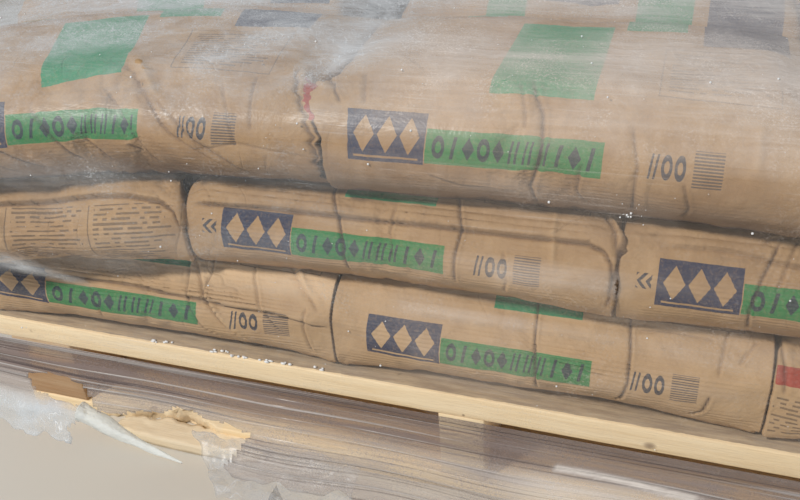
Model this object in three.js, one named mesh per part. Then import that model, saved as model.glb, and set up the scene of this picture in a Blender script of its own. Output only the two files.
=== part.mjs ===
// A wooden pallet loaded with three layers of paper sacks under a clear film hood.
// Millimetres, +Z up. The origin is on the floor under the middle of the pallet, and the side with the
// long row of sacks and the torn film skirt faces -Y.
import * as THREE from 'three';

// Sacks: two lengths are as long as three widths, so stretchers and headers close to one rectangle.
const sackLength = 450;
const sackWidth = (sackLength * 2) / 3;
const sackHeight = 107;
const sackGap = 0.6; // clear space between two sacks that lie side by side or one on the other
const layerCount = 3;

// How far the rounding of a sack's edges reaches in along its length, width and height. The sacks of
// the top layer carry no load, so they stand rounder, and their middle rises by the crown.
const pressedRound = new THREE.Vector3(42, 36, 42);
const freeRound = new THREE.Vector3(52, 50, 48);
const topCrown = 12;

// Three sacks at the left end have slid. Each turned about its right front corner (degrees) and moved
// along X and Y. The front one of the top layer also bent, so that its left part turns out further.
const slid = {
  sack_layer2_header_1: { turn: 15, x: 0, y: -3 },
  sack_layer3_row1_1: { turn: 4.5, x: 0, y: -1, bend: 13.5 },
  sack_layer3_row2_1: { turn: 8, x: -75, y: -1 },
};
const bendStart = 75; // where the bend starts, measured from the sack's middle
const bendLength = 120;

// Pallet timber.
const palletLength = 2 * sackLength + sackWidth;
const loadWidth = 2 * sackLength;
const deckMargin = 5; // how far the deck stands out past the long faces of the load
const palletWidth = loadWidth + 2 * deckMargin;
const boardWidth = 100;
const deckBoardCount = 7;
const deckThickness = 30;
const crossThickness = 25;
const blockHeight = 70;
const bottomThickness = 25;
const endBlockWidth = 90;
const middleBlockWidth = 52;

// Film.
const filmThickness = 1;
const filmGap = 5; // how far the film stands off the pallet's sides
const hemCorner = 12; // corner radius of the film round the square pallet
const loadCorner = 36; // corner radius of the film round the sacks
const hemDrop = 8; // how far the hood reaches below the deck boards
const skirtFlare = 40; // how far the skirt's foot stands out from its top
const skirtLow = 14; // height of the skirt's foot, and of its edge where it is torn away
const skirtTorn = 66;
const tornFrom = -565;
const tornTo = -325;

// The slid sacks push the hood out. At the front the bulge grows from their first joint to the left
// corner, the later the higher its power. At the left end it lies between two places on Y. Each bulge
// fades out over the lengths that are given with it.
const frontBulge = { reach: 102, power: 1.4, depth: 250 };
const leftBulge = { reach: 118, fromY: -560, rise: 330, toY: 250, fall: 150, fromX: -330, depth: 200 };

const crossTop = bottomThickness + blockHeight + crossThickness;
const deckTop = crossTop + deckThickness;
const loadTop = deckTop + layerCount * sackHeight;

const kraft = () => new THREE.MeshStandardMaterial({ color: 0xc39a6c, roughness: 0.8, metalness: 0 });
const pine = () => new THREE.MeshStandardMaterial({ color: 0xdcb984, roughness: 0.75, metalness: 0 });
const clearFilm = () => new THREE.MeshStandardMaterial({
  color: 0xe4e8ea,
  roughness: 0.25,
  metalness: 0,
  transparent: true,
  opacity: 0.3,
});

const degree = Math.PI / 180;
const pallet = new THREE.Group();

function add(name, geometry, material, x = 0, y = 0, z = 0, turn = 0) {
  const mesh = new THREE.Mesh(geometry, material);
  mesh.name = name;
  mesh.position.set(x, y, z);
  mesh.rotation.z = turn;
  pallet.add(mesh);
  return mesh;
}

// One axis of a sack: the outer half of the grid lines falls in the rounded edge.
function spreadLine(t, half, round) {
  const side = Math.sign(t);
  const reach = Math.abs(t);
  const flat = half - round;
  return reach <= 0.5 ? { base: t * 2 * flat, over: 0 } : { base: side * flat, over: side * (2 * reach - 1) };
}

// Turns the part of a sack that lies left of the bend's start towards -Y, by an angle in radians.
function bendPoint(x, y, angle) {
  const radius = bendLength / angle;
  const inBend = Math.min(Math.max(bendStart - x, 0), bendLength);
  const phi = inBend / radius;
  const past = Math.max(bendStart - x - bendLength, 0);
  const kept = Math.max(x - bendStart, 0);
  return [
    bendStart + kept - (radius + y) * Math.sin(phi) - past * Math.cos(phi),
    (radius + y) * Math.cos(phi) - radius - past * Math.sin(phi),
  ];
}

// A filled sack: a box with wide elliptical edges. The crown lifts the middle of its top.
function sackGeometry(round, crown, bend) {
  const half = new THREE.Vector3(sackLength, sackWidth, sackHeight).subScalar(sackGap).multiplyScalar(0.5);
  const geometry = new THREE.BoxGeometry(2, 2, 2, 8, 6, 4);
  geometry.deleteAttribute('normal');
  geometry.deleteAttribute('uv');
  const position = geometry.getAttribute('position');
  for (let i = 0; i < position.count; i += 1) {
    const along = spreadLine(position.getX(i), half.x, round.x);
    const across = spreadLine(position.getY(i), half.y, round.y);
    const up = spreadLine(position.getZ(i), half.z, round.z);
    const over = new THREE.Vector3(along.over, across.over, up.over).normalize();
    const x = along.base + over.x * round.x;
    const y = across.base + over.y * round.y;
    const lift = Math.max(0, up.over) * (1 - (x / half.x) ** 2) * (1 - (y / half.y) ** 2);
    const [bentX, bentY] = bend ? bendPoint(x, y, bend) : [x, y];
    position.setXYZ(i, bentX, bentY, up.base + over.z * round.z + crown * lift);
  }
  return geometry;
}

// Adds one sack. A slid sack is first turned about its right front corner and moved.
function addSack(name, free, x, y, z, isHeader) {
  const { turn = 0, x: slideX = 0, y: slideY = 0, bend = 0 } = slid[name] ?? {};
  const geometry = sackGeometry(free ? freeRound : pressedRound, free ? topCrown : 0, bend * degree);
  const toCornerX = (isHeader ? sackWidth : sackLength) / 2;
  const toCornerY = (isHeader ? sackLength : sackWidth) / 2;
  const cos = Math.cos(turn * degree);
  const sin = Math.sin(turn * degree);
  const placeX = x + toCornerX - toCornerX * cos - toCornerY * sin + slideX;
  const placeY = y - toCornerY - toCornerX * sin + toCornerY * cos + slideY;
  add(name, geometry, kraft(), placeX, placeY, z, turn * degree + (isHeader ? Math.PI / 2 : 0));
}

// A layer has six stretchers in three rows and two headers at one end, turned against the last layer.
function addLayer(layer) {
  const headersAtLeft = layer % 2 === 1;
  const z = deckTop + (layer + 0.5) * sackHeight;
  const free = layer === layerCount - 1;
  const stretcherStart = -palletLength / 2 + (headersAtLeft ? sackWidth : 0);
  const headerX = (headersAtLeft ? -1 : 1) * (palletLength - sackWidth) / 2;
  for (let row = 0; row < 3; row += 1) {
    for (let place = 0; place < 2; place += 1) {
      const x = stretcherStart + (place + 0.5) * sackLength;
      const y = (row - 1) * sackWidth;
      addSack(`sack_layer${layer + 1}_row${row + 1}_${place + 1}`, free, x, y, z, false);
    }
  }
  for (let place = 0; place < 2; place += 1) {
    const y = (place - 0.5) * sackLength;
    addSack(`sack_layer${layer + 1}_header_${place + 1}`, free, headerX, y, z, true);
  }
}

function addBoard(name, size, x, y, low) {
  add(name, new THREE.BoxGeometry(size.x, size.y, size.z), pine(), x, y, low + size.z / 2);
}

// The front bottom board has lost splinters from its outer edge near the left end.
function brokenBoardGeometry() {
  const halfLength = palletLength / 2;
  const breakPoints = [
    [-505, 0], [-470, 9], [-452, 5], [-420, 17],
    [-398, 12], [-366, 21], [-338, 8], [-318, 0],
  ];
  const outline = new THREE.Shape();
  outline.moveTo(-halfLength, boardWidth);
  outline.lineTo(-halfLength, 0);
  breakPoints.forEach(([x, depth]) => outline.lineTo(x, depth));
  outline.lineTo(halfLength, 0);
  outline.lineTo(halfLength, boardWidth);
  return new THREE.ExtrudeGeometry(outline, { depth: bottomThickness, bevelEnabled: false });
}

function addPallet() {
  const deckPitch = (palletWidth - boardWidth) / (deckBoardCount - 1);
  for (let i = 0; i < deckBoardCount; i += 1) {
    const y = (boardWidth - palletWidth) / 2 + i * deckPitch;
    const size = new THREE.Vector3(palletLength, boardWidth, deckThickness);
    addBoard(`deck_board_${i + 1}`, size, 0, y, crossTop);
  }
  const endX = (palletLength - endBlockWidth) / 2;
  const rowY = (palletWidth - boardWidth) / 2;
  const columns = [
    ['left', -endX, endBlockWidth],
    ['middle', 0, middleBlockWidth],
    ['right', endX, endBlockWidth],
  ];
  const rows = [['front', -rowY], ['centre', 0], ['rear', rowY]];
  columns.forEach(([column, x, width]) => {
    const crossLow = bottomThickness + blockHeight;
    addBoard(`cross_board_${column}`, new THREE.Vector3(width, palletWidth, crossThickness), x, 0, crossLow);
    const blockSize = new THREE.Vector3(width, boardWidth, blockHeight);
    rows.forEach(([row, y]) => addBoard(`block_${row}_${column}`, blockSize, x, y, bottomThickness));
  });
  rows.slice(1).forEach(([row, y]) => {
    addBoard(`bottom_board_${row}`, new THREE.Vector3(palletLength, boardWidth, bottomThickness), 0, y, 0);
  });
  add('bottom_board_front', brokenBoardGeometry(), pine(), 0, -palletWidth / 2, 0);
}

// The points of a rectangle with rounded corners, counter-clockwise seen from above. Each side between
// two corners is cut into equal steps.
function roundedRing(halfX, halfY, z, corner, sideSteps = 8, cornerSteps = 3) {
  const points = [];
  for (let quarter = 0; quarter < 4; quarter += 1) {
    const signX = quarter === 0 || quarter === 3 ? 1 : -1;
    const signY = quarter < 2 ? 1 : -1;
    const [nextX, nextY] = quarter % 2 === 0 ? [-signX, signY] : [signX, -signY];
    for (let step = 0; step <= cornerSteps; step += 1) {
      const angle = (quarter + step / cornerSteps) * (Math.PI / 2);
      points.push([
        signX * (halfX - corner) + corner * Math.cos(angle),
        signY * (halfY - corner) + corner * Math.sin(angle),
        z,
      ]);
    }
    const [fromX, fromY] = points[points.length - 1];
    const turned = (quarter + 1) * (Math.PI / 2);
    const toX = nextX * (halfX - corner) + corner * Math.cos(turned);
    const toY = nextY * (halfY - corner) + corner * Math.sin(turned);
    for (let step = 1; step < sideSteps; step += 1) {
      const share = step / sideSteps;
      points.push([fromX + (toX - fromX) * share, fromY + (toY - fromY) * share, z]);
    }
  }
  return points;
}

const smooth = (t) => {
  const clamped = Math.min(Math.max(t, 0), 1);
  return clamped * clamped * (3 - 2 * clamped);
};

// Pushes a point of the hood out where the slid sacks lie behind it. The share is 0 to 1.
function pushOut([x, y, z], share) {
  const firstJoint = sackLength - palletLength / 2; // where the bulge of the front starts
  const alongFront = Math.min(Math.max((firstJoint - x) / sackLength, 0), 1);
  const nearFront = smooth((-y - sackWidth / 2) / frontBulge.depth);
  const pastCorner = smooth((y - leftBulge.fromY) / leftBulge.rise);
  const beforeRear = smooth((leftBulge.toY - y) / leftBulge.fall);
  const nearLeft = smooth((leftBulge.fromX - x) / leftBulge.depth);
  const front = frontBulge.reach * alongFront ** frontBulge.power * nearFront;
  const left = leftBulge.reach * pastCorner * beforeRear * nearLeft;
  return [x - share * left, y - share * front, z];
}

// A geometry from rings of equal length that follow each other, closed at both ends by a fan. The first
// half of the rings is the inner skin, from the top down, and the second half the outer skin, from the
// bottom up. Both are cut along the same diagonals, so they stay parallel where the film is twisted.
function loftGeometry(rings, firstCentre, lastCentre) {
  const count = rings[0].length;
  const points = [...rings.flat(), firstCentre, lastCentre];
  const faces = [];
  for (let k = 0; k < rings.length - 1; k += 1) {
    for (let i = 0; i < count; i += 1) {
      const next = (i + 1) % count;
      const a = k * count + i;
      const b = k * count + next;
      if (k < rings.length / 2 - 1) {
        faces.push(a, b, a + count, b, b + count, a + count);
      } else {
        faces.push(a, b, b + count, a, b + count, a + count);
      }
    }
  }
  const first = points.length - 2;
  const last = points.length - 1;
  const lastRing = (rings.length - 1) * count;
  for (let i = 0; i < count; i += 1) {
    const next = (i + 1) % count;
    faces.push(first, next, i);
    faces.push(last, lastRing + i, lastRing + next);
  }
  const geometry = new THREE.BufferGeometry();
  geometry.setAttribute('position', new THREE.Float32BufferAttribute(points.flat(), 3));
  geometry.setIndex(faces);
  return geometry;
}

// The hood is one skin: it runs up its inside, and over its lip down from the top on its outside.
function addHood() {
  const low = deckTop - deckThickness - hemDrop;
  const sideX = palletLength / 2 + filmGap;
  const sideY = palletWidth / 2 + filmGap;
  const roof = loadTop + topCrown; // a hair above the crowns, which stop half a sack gap lower
  const secondLayer = deckTop + sackHeight;
  // Each level: how far it lies inside the pallet's film on X and Y, its height, corner and push. The
  // outer skin lies higher than the inner one only where the film turns in over the load: lower down,
  // where the bulge leans out, that would press the two together.
  const levels = [
    { inX: 0, inY: 0, z: low, corner: hemCorner, push: 0, lift: 0 },
    { inX: 0, inY: 0, z: deckTop + 2, corner: hemCorner, push: 0, lift: 0 },
    { inX: 1, inY: 5, z: deckTop + 40, corner: loadCorner, push: 0.05, lift: 0 },
    { inX: 1, inY: 5, z: secondLayer - 16, corner: loadCorner, push: 0.6, lift: 0 },
    { inX: 1, inY: 5, z: secondLayer + 16, corner: loadCorner, push: 1, lift: 0 },
    { inX: 1, inY: 5, z: loadTop - 44, corner: loadCorner, push: 1, lift: 1 },
    { inX: 10, inY: 14, z: loadTop - 14, corner: loadCorner, push: 1, lift: 1 },
    { inX: 34, inY: 38, z: roof - 8, corner: loadCorner, push: 1, lift: 1 },
    { inX: 115, inY: 118, z: roof, corner: loadCorner, push: 1, lift: 1 },
  ];
  const ring = ({ inX, inY, z, corner, push, lift }, out) => {
    const points = roundedRing(sideX - inX + out, sideY - inY + out, z + lift * out, corner + out);
    return points.map((point) => pushOut(point, push));
  };
  const inner = levels.map((level) => ring(level, 0));
  const outer = levels.map((level) => ring(level, filmThickness));
  const rings = [...inner.reverse(), ...outer];
  add('film_hood', loftGeometry(rings, [0, 0, roof], [0, 0, roof + filmThickness]), clearFilm());
}

// The skirt hangs from the hood's front hem over the open side of the pallet. It flares out towards
// the floor, its foot is ragged, and it is torn away near the left end.
function addSkirt() {
  const columns = 40;
  const rows = 4;
  const seamGap = 0.3;
  const waveDepth = 5;
  const waveLength = 47;
  const top = deckTop - deckThickness - hemDrop - seamGap;
  const front = [];
  const back = [];
  for (let i = 0; i <= columns; i += 1) {
    const x = -palletLength / 2 + (palletLength * i) / columns;
    const torn = x > tornFrom && x < tornTo;
    const ragged = 4 * Math.sin(i * 2.4) + 3 * Math.sin(i * 5.1);
    const low = (torn ? skirtTorn : skirtLow) + ragged;
    for (let j = 0; j <= rows; j += 1) {
      const t = j / rows;
      const z = top + (low - top) * t;
      const fall = (top - z) / top;
      const wave = waveDepth * Math.sin(x / waveLength);
      const y = -palletWidth / 2 - filmGap - fall * (skirtFlare + wave);
      front.push([x, y - filmThickness, z]);
      back.push([x, y, z]);
    }
  }
  const points = [...front, ...back];
  const stride = rows + 1;
  const offset = front.length;
  const faces = [];
  const quad = (a, b, c, d) => faces.push(a, b, c, a, c, d);
  for (let i = 0; i < columns; i += 1) {
    for (let j = 0; j < rows; j += 1) {
      const a = i * stride + j;
      const b = a + stride;
      quad(a, a + 1, b + 1, b);
      quad(offset + a, offset + b, offset + b + 1, offset + a + 1);
    }
    const upper = i * stride;
    const lower = upper + rows;
    quad(upper, upper + stride, offset + upper + stride, offset + upper);
    quad(lower, offset + lower, offset + lower + stride, lower + stride);
  }
  const lastColumn = columns * stride;
  for (let j = 0; j < rows; j += 1) {
    quad(j, offset + j, offset + j + 1, j + 1);
    quad(lastColumn + j, lastColumn + j + 1, offset + lastColumn + j + 1, offset + lastColumn + j);
  }
  const geometry = new THREE.BufferGeometry();
  geometry.setAttribute('position', new THREE.Float32BufferAttribute(points.flat(), 3));
  geometry.setIndex(faces);
  add('film_skirt', geometry, clearFilm());
}

addPallet();
for (let layer = 0; layer < layerCount; layer += 1) {
  addLayer(layer);
}
addHood();
addSkirt();

export default pallet;
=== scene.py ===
import math
import random

import bmesh
import bpy
import numpy as np
from mathutils import Matrix, Vector, noise
from mathutils.bvhtree import BVHTree
from mathutils.kdtree import KDTree


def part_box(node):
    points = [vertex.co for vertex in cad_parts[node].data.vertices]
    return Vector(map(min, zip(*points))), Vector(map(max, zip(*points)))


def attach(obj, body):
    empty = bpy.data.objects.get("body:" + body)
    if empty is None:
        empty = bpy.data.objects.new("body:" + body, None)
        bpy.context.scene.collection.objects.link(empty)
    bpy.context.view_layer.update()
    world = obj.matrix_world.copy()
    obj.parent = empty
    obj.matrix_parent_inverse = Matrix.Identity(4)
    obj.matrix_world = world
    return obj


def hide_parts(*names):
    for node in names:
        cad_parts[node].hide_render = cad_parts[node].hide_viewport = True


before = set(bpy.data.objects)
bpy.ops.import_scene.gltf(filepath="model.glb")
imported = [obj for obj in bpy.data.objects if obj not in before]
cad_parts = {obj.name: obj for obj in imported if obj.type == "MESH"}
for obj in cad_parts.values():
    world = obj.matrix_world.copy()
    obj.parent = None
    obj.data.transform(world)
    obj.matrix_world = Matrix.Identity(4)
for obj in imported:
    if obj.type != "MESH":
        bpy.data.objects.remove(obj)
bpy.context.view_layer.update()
random.seed(7)


# Small helpers

def addPiece(name, mesh, material):
    piece = bpy.data.objects.new(name, mesh)
    bpy.context.scene.collection.objects.link(piece)
    mesh.materials.append(material)
    return piece


def meshFrom(bm, name):
    mesh = bpy.data.meshes.new(name)
    bm.to_mesh(mesh)
    bm.free()
    mesh.shade_smooth()
    return mesh


def getPoints(mesh, kind="co"):
    values = np.empty(len(mesh.vertices) * 3)
    mesh.vertices.foreach_get(kind, values)
    return values.reshape(-1, 3)


def getNormals(mesh):
    return getPoints(mesh, "normal")


def setPoints(mesh, points):
    mesh.vertices.foreach_set("co", np.ascontiguousarray(points, dtype=np.float32).ravel())
    mesh.update()


def getCorners(mesh):  # the point at each corner of the faces, and where each face's corners start
    corners = np.empty(len(mesh.loops), dtype=np.int64)
    mesh.loops.foreach_get("vertex_index", corners)
    starts = np.empty(len(mesh.polygons), dtype=np.int64)
    mesh.polygons.foreach_get("loop_start", starts)
    return corners, starts


def setValue(mesh, name, values):  # a number for each point, or one for all, that a material can read
    values = np.broadcast_to(np.asarray(values, dtype=np.float32), len(mesh.vertices))
    attribute = mesh.attributes.new(name, "FLOAT", "POINT")
    attribute.data.foreach_set("value", np.ascontiguousarray(values))


def smoothStep(t):
    t = np.clip(t, 0, 1)
    return t * t * (3 - 2 * t)


def rising(values, start, over, strength):  # 0 before the start, and the strength past the stretch
    return strength * smoothStep((values - start) / over)


def bell(distance, width):  # 1 at no distance, and next to nothing two widths away
    return np.exp(-(distance / width) ** 2)


def noiseAt(points, scale, seed):  # smooth noise of about -1 to 1 for each point
    shift = Vector((seed * 7.31, seed * 3.17, seed * 5.77))
    return np.array([noise.noise(Vector(point) * scale + shift) for point in points.tolist()])


def blockGrid(cells):  # a cube of -1 to 1 cut into cells along each axis
    bm = bmesh.new()
    bmesh.ops.create_cube(bm, size=2)
    for axis, count in enumerate(cells):
        edges = [e for e in bm.edges if abs(e.verts[0].co[axis] - e.verts[1].co[axis]) > 1e-6]
        bmesh.ops.subdivide_edges(bm, edges=edges, cuts=count - 1, use_grid_fill=True)
    return bm


# Shader nodes. A wire is one socket, and an expression on wires adds the Math nodes.

def plug(tree, socket, value):
    if isinstance(value, Wire):
        tree.links.new(value.socket, socket)
    else:
        socket.default_value = value


def addNode(tree, kind, settings, sockets):  # sockets: a value or a wire for each by its name or number
    node = tree.nodes.new("ShaderNode" + kind)
    for name, value in settings.items():
        setattr(node, name, value)
    for name, value in sockets.items():
        plug(tree, node.inputs[name], value)
    return [Wire(tree, socket) for socket in node.outputs]


def maths(operation, swapped=False):  # an operator or a method of Wire
    def add(self, *others):
        values = (*others, self) if swapped else (self, *others)
        return self.math(operation, *values)
    return add


class Wire:
    def __init__(self, tree, socket):
        self.tree = tree
        self.socket = socket

    def math(self, operation, *values, clamp=False):
        settings = {"operation": operation, "use_clamp": clamp}
        return addNode(self.tree, "Math", settings, dict(enumerate(values)))[0]

    __add__ = maths("ADD")
    __radd__ = maths("ADD", swapped=True)
    __sub__ = maths("SUBTRACT")
    __rsub__ = maths("SUBTRACT", swapped=True)
    __mul__ = maths("MULTIPLY")
    __rmul__ = maths("MULTIPLY", swapped=True)
    __truediv__ = maths("DIVIDE")
    __mod__ = maths("FLOORED_MODULO")
    __pow__ = maths("POWER")
    __abs__ = maths("ABSOLUTE")
    __lt__ = maths("LESS_THAN")
    __gt__ = maths("GREATER_THAN")
    most = maths("MAXIMUM")
    floor = maths("FLOOR")
    fract = maths("FRACT")
    sine = maths("SINE")
    root = maths("SQRT")

    def clamp(self):
        return self.math("ADD", self, 0, clamp=True)

    def hash(self, seed):  # a random 0 to 1 for each whole number
        return ((self * 12.9898 + seed * 78.233).sine() * 43758.5453) % 1

    def ramp(self, low, high):  # 0 below low and 1 above high
        return ((self - low) / (high - low)).clamp()


def union(masks):  # where any of the masks is
    whole, *others = masks
    for mask in others:
        whole = whole.most(mask)
    return whole


class Finish:  # a material with its nodes
    def __init__(self, name, **constants):
        self.material = bpy.data.materials.new(name)
        self.material.use_nodes = True
        self.tree = self.material.node_tree
        self.shader = self.tree.nodes["Principled BSDF"]
        self.feed(**constants)

    def feed(self, **values):
        for name, value in values.items():
            plug(self.tree, self.shader.inputs[name.replace("_", " ")], value)

    def node(self, kind, settings=None, **sockets):
        return addNode(self.tree, kind, settings or {}, sockets)

    def place(self):  # the Object coordinates
        return self.node("TexCoord")[3]

    def uv(self, name):
        return self.node("UVMap", {"uv_map": name})[0]

    def value(self, name):  # a number that a piece holds for each of its points
        return self.node("Attribute", {"attribute_name": name})[2]

    def colour(self, mask, first, second):
        return addNode(self.tree, "Mix", {"data_type": "RGBA"}, {0: mask, 6: first, 7: second})[2]

    def split(self, vector):
        return self.node("SeparateXYZ", Vector=vector)

    def stretch(self, vector, scale, rotation=(0, 0, 0), location=(0, 0, 0)):
        return self.node("Mapping", Vector=vector, Scale=scale, Rotation=rotation, Location=location)[0]

    def cloud(self, vector, scale, detail=3, roughness=0.5, distortion=0):
        return self.node("TexNoise", Vector=vector, Scale=scale, Detail=detail, Roughness=roughness,
                         Distortion=distortion)[0]

    def bump(self, height, distance, strength):
        self.feed(Normal=self.node("Bump", Height=height, Distance=distance, Strength=strength)[0])


def shade(red, green, blue):  # an sRGB colour of 0 to 255 as the linear colour that a socket takes
    channels = [value / 255 for value in (red, green, blue)]
    linear = [c / 12.92 if c <= 0.04045 else ((c + 0.055) / 1.055) ** 2.4 for c in channels]
    return (*linear, 1)


# Camera, at the photograph's viewing angle

camera = {
    "place": (0.1851, -1.1132, 0.7918),
    "turn": 0.3513,  # to the left, in radians
    "dip": 0.5812,  # below the horizon
    "roll": -0.0725,
    "lens": 38.7,
    "sensor": 36,
    "nearest": 0.05,
}


def addCamera():
    turn, dip, roll = camera["turn"], camera["dip"], camera["roll"]
    ahead = Vector((-math.sin(turn) * math.cos(dip), math.cos(turn) * math.cos(dip), -math.sin(dip)))
    side = Vector((math.cos(turn), math.sin(turn), 0))
    upright = side.cross(ahead)
    rolledSide = side * math.cos(roll) + upright * math.sin(roll)
    rolledUp = upright * math.cos(roll) - side * math.sin(roll)
    columns = Matrix((rolledSide, rolledUp, -ahead)).transposed()
    data = bpy.data.cameras.new("camera")
    data.lens = camera["lens"]
    data.sensor_width = camera["sensor"]
    data.clip_start = camera["nearest"]
    item = bpy.data.objects.new("camera", data)
    item.matrix_world = Matrix.Translation(camera["place"]) @ columns.to_4x4()
    bpy.context.scene.collection.objects.link(item)
    bpy.context.scene.camera = item


addCamera()

# Sacks

sack = {
    "length": 0.450,
    "width": 0.300,
    "height": 0.107,
    "gap": 0.0006,
    "crown": 0.012,  # how far the middle of a top sack rises
    "crownShape": (6, 2),  # the higher, the longer it stays level along the sack and across
    "crownSpare": 0.003,  # how far the filling may lift it past that
    "corner": 5,  # the higher, the squarer its upright corners
    "edgeCells": 0.785,  # how many cells the rounded edges get, for their reach
    "empty": (0.0008, 0.003, 0.003),  # how much smaller each side starts before the filling
    "swell": 0.009,  # how far the filling moves a point at most
    "proud": 0.005,  # how far a face may bulge out of the stack
    "faceCell": 0.0060,  # grid across a face that the camera sees
    "depthCell": 0.0150,
    "plainCell": 0.0090,  # grid of the other sacks
    "crowd": 0.35,  # how much the grid crowds towards the face that shows
    "fineCuts": 3,  # cuts of each cell on that face and on the front of the top
    "fineDepth": 0.30,
}
sackSize = np.array((sack["length"], sack["width"], sack["height"]))
# How far the rounding reaches in at the ends that meet, at the long faces, and up or down
rounding = {
    "1": {"upper": (0.004, 0.046, 0.046), "lower": (0.004, 0.011, 0.014)},
    "2": {"upper": (0.004, 0.038, 0.042), "lower": (0.004, 0.038, 0.040)},
    "3": {"upper": (0.004, 0.052, 0.050), "lower": (0.004, 0.048, 0.046)},
    "bent": {"upper": (0.004, 0.052, 0.049), "lower": (0.004, 0.070, 0.049)},
}
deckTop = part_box("deck_board_1")[1].z
palletLength = 2 * sack["length"] + sack["width"]
bentSack = "sack_layer3_row1_1"
bend = {"start": 0.075, "length": 0.120}

# What a sack has of its own, and below it what the others have
traits = {
    "sack_layer1_row1_1": {
        "turn": 1.0,
        "ends": (-0.022, 0.006),
        "endReach": 0.200,
        "openEnd": -1,
        "paintedTopShading": -0.70,
        "paintedFrontLight": 0.60,
        "printUp": -0.020,
        "printSpread": ((0, 0.095, 0.2895, 0.3695, 0.398, 0.450),
                        (0.039, 0.1215, 0.279, 0.355, 0.379, 0.450)),
    },
    "sack_layer1_row1_2": {
        "ends": (0.006, 0.000),
        "printUp": -0.019,
        "printSpread": ((0, 0.0486, 0.129, 0.2823, 0.3192, 0.3823, 0.450),
                        (0, 0.041, 0.122, 0.279, 0.317, 0.379, 0.450)),
    },
    "sack_layer2_header_1": {"turn": 15, "move": (0, -0.003), "paintedTopShading": -0.70},
    "sack_layer2_row1_1": {
        "printUp": -0.012,
        "printSpread": ((0, 0.0445, 0.1215, 0.2843, 0.3128, 0.377, 0.450),
                        (0, 0.041, 0.1215, 0.279, 0.317, 0.379, 0.450)),
    },
    "sack_layer2_row1_2": {
        "openEnd": 1,
        "printUp": -0.012,
        "printSpread": ((0, 0.037, 0.1086, 0.270, 0.450), (0, 0.041, 0.1215, 0.279, 0.450)),
    },
    bentSack: {
        "turn": 4.5,
        "move": (0, -0.001),
        "bend": 13.5,
        "ends": (0.000, 0.0195),
        "openEnd": -1,
        "lean": 0.009,
        "printUp": 0.002,
        "printSpread": ((0, 0.107, 0.2665, 0.317, 0.450), (0, 0.1225, 0.279, 0.317, 0.450)),
    },
    "sack_layer3_row1_2": {
        "ends": (0.0195, 0.000),
        "lean": 0.025,
        "printUp": 0.000,
        "printSpread": ((0, 0.0464, 0.119, 0.278, 0.3143, 0.3745, 0.450),
                        (0, 0.041, 0.122, 0.279, 0.317, 0.379, 0.450)),
    },
    "sack_layer3_row2_1": {"turn": 8, "move": (-0.075, -0.001), "printUp": -0.150},
    "sack_layer3_row2_2": {"printUp": -0.230},
}
usualTraits = {
    "turn": 0,  # about the right front corner, in degrees
    "move": (0, 0),
    "bend": 0,  # of its left part, in degrees
    "ends": (0, 0),  # how far the left and the right end reach along the row past their usual place
    "endReach": 0.050,  # how much of the sack that takes along
    "openEnd": 0,  # the end that meets no other sack: 1 at its right, -1 at its left
    "paintedTopShading": 0.85,  # painted shade on the back of its top, or below 0 painted light there
    "paintedFrontLight": 0,  # how much painted light lifts the upper part of its front
    "lean": 0,  # how far its gathered end leans to the left
    "printUp": -0.004,  # how far the print sits above its usual place on the paper
    "printSpread": ((0, 1), (0, 1)),  # places along the sack, and the print's places that lie there
}
# Painted shade and painted light on the paper, for the height round a sack: the start, over what height,
# and how much
# painted shade on the lower rounding of each sack
paintedShadeUnder = (-0.048, -0.022, 0.85)
paintedShadeTopLayer = (0.018, -0.060, 0.60)  # painted shade on the lower front, only in the top layer
# the heights where painted shade darkens the back of a top, or painted light lifts it; how much is each
# sack's own
paintedTopShadingHeights = (0.078, 0.016)
# the heights where painted light lifts the upper part of a front
paintedFrontLightHeights = (0.025, 0.030)
# The same, as painted shade, for the distance past an end, where two sacks touch, and past the back of the
# bent sack
paintedShadeTouching = (-0.0026, 0.0012, 0.8)
paintedShadeBehindBent = (-0.030, 0.018, 0.9)
# painted light on the paper of each layer
paintedLightByLayer = {"1": 0.30, "2": 0.12, "3": 0.0}
# Uneven filling: how high, how fine, and a seed
lumps = ((0.0022, 11, 0), (0.0007, 60, 40))
dents = (0.0018, 19, 80)
# The paper is gathered where the two front sacks of the top layer meet
gather = {
    "reach": 0.070,
    "ripples": ((0.0011, 330, 0), (0.0007, 611, 1)),
    "leaning": (0.010, 0.060),
}


def trait(name, key):
    return traits.get(name, {}).get(key, usualTraits[key])


def layerOf(name):
    return name.split("_")[1][-1]


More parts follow.
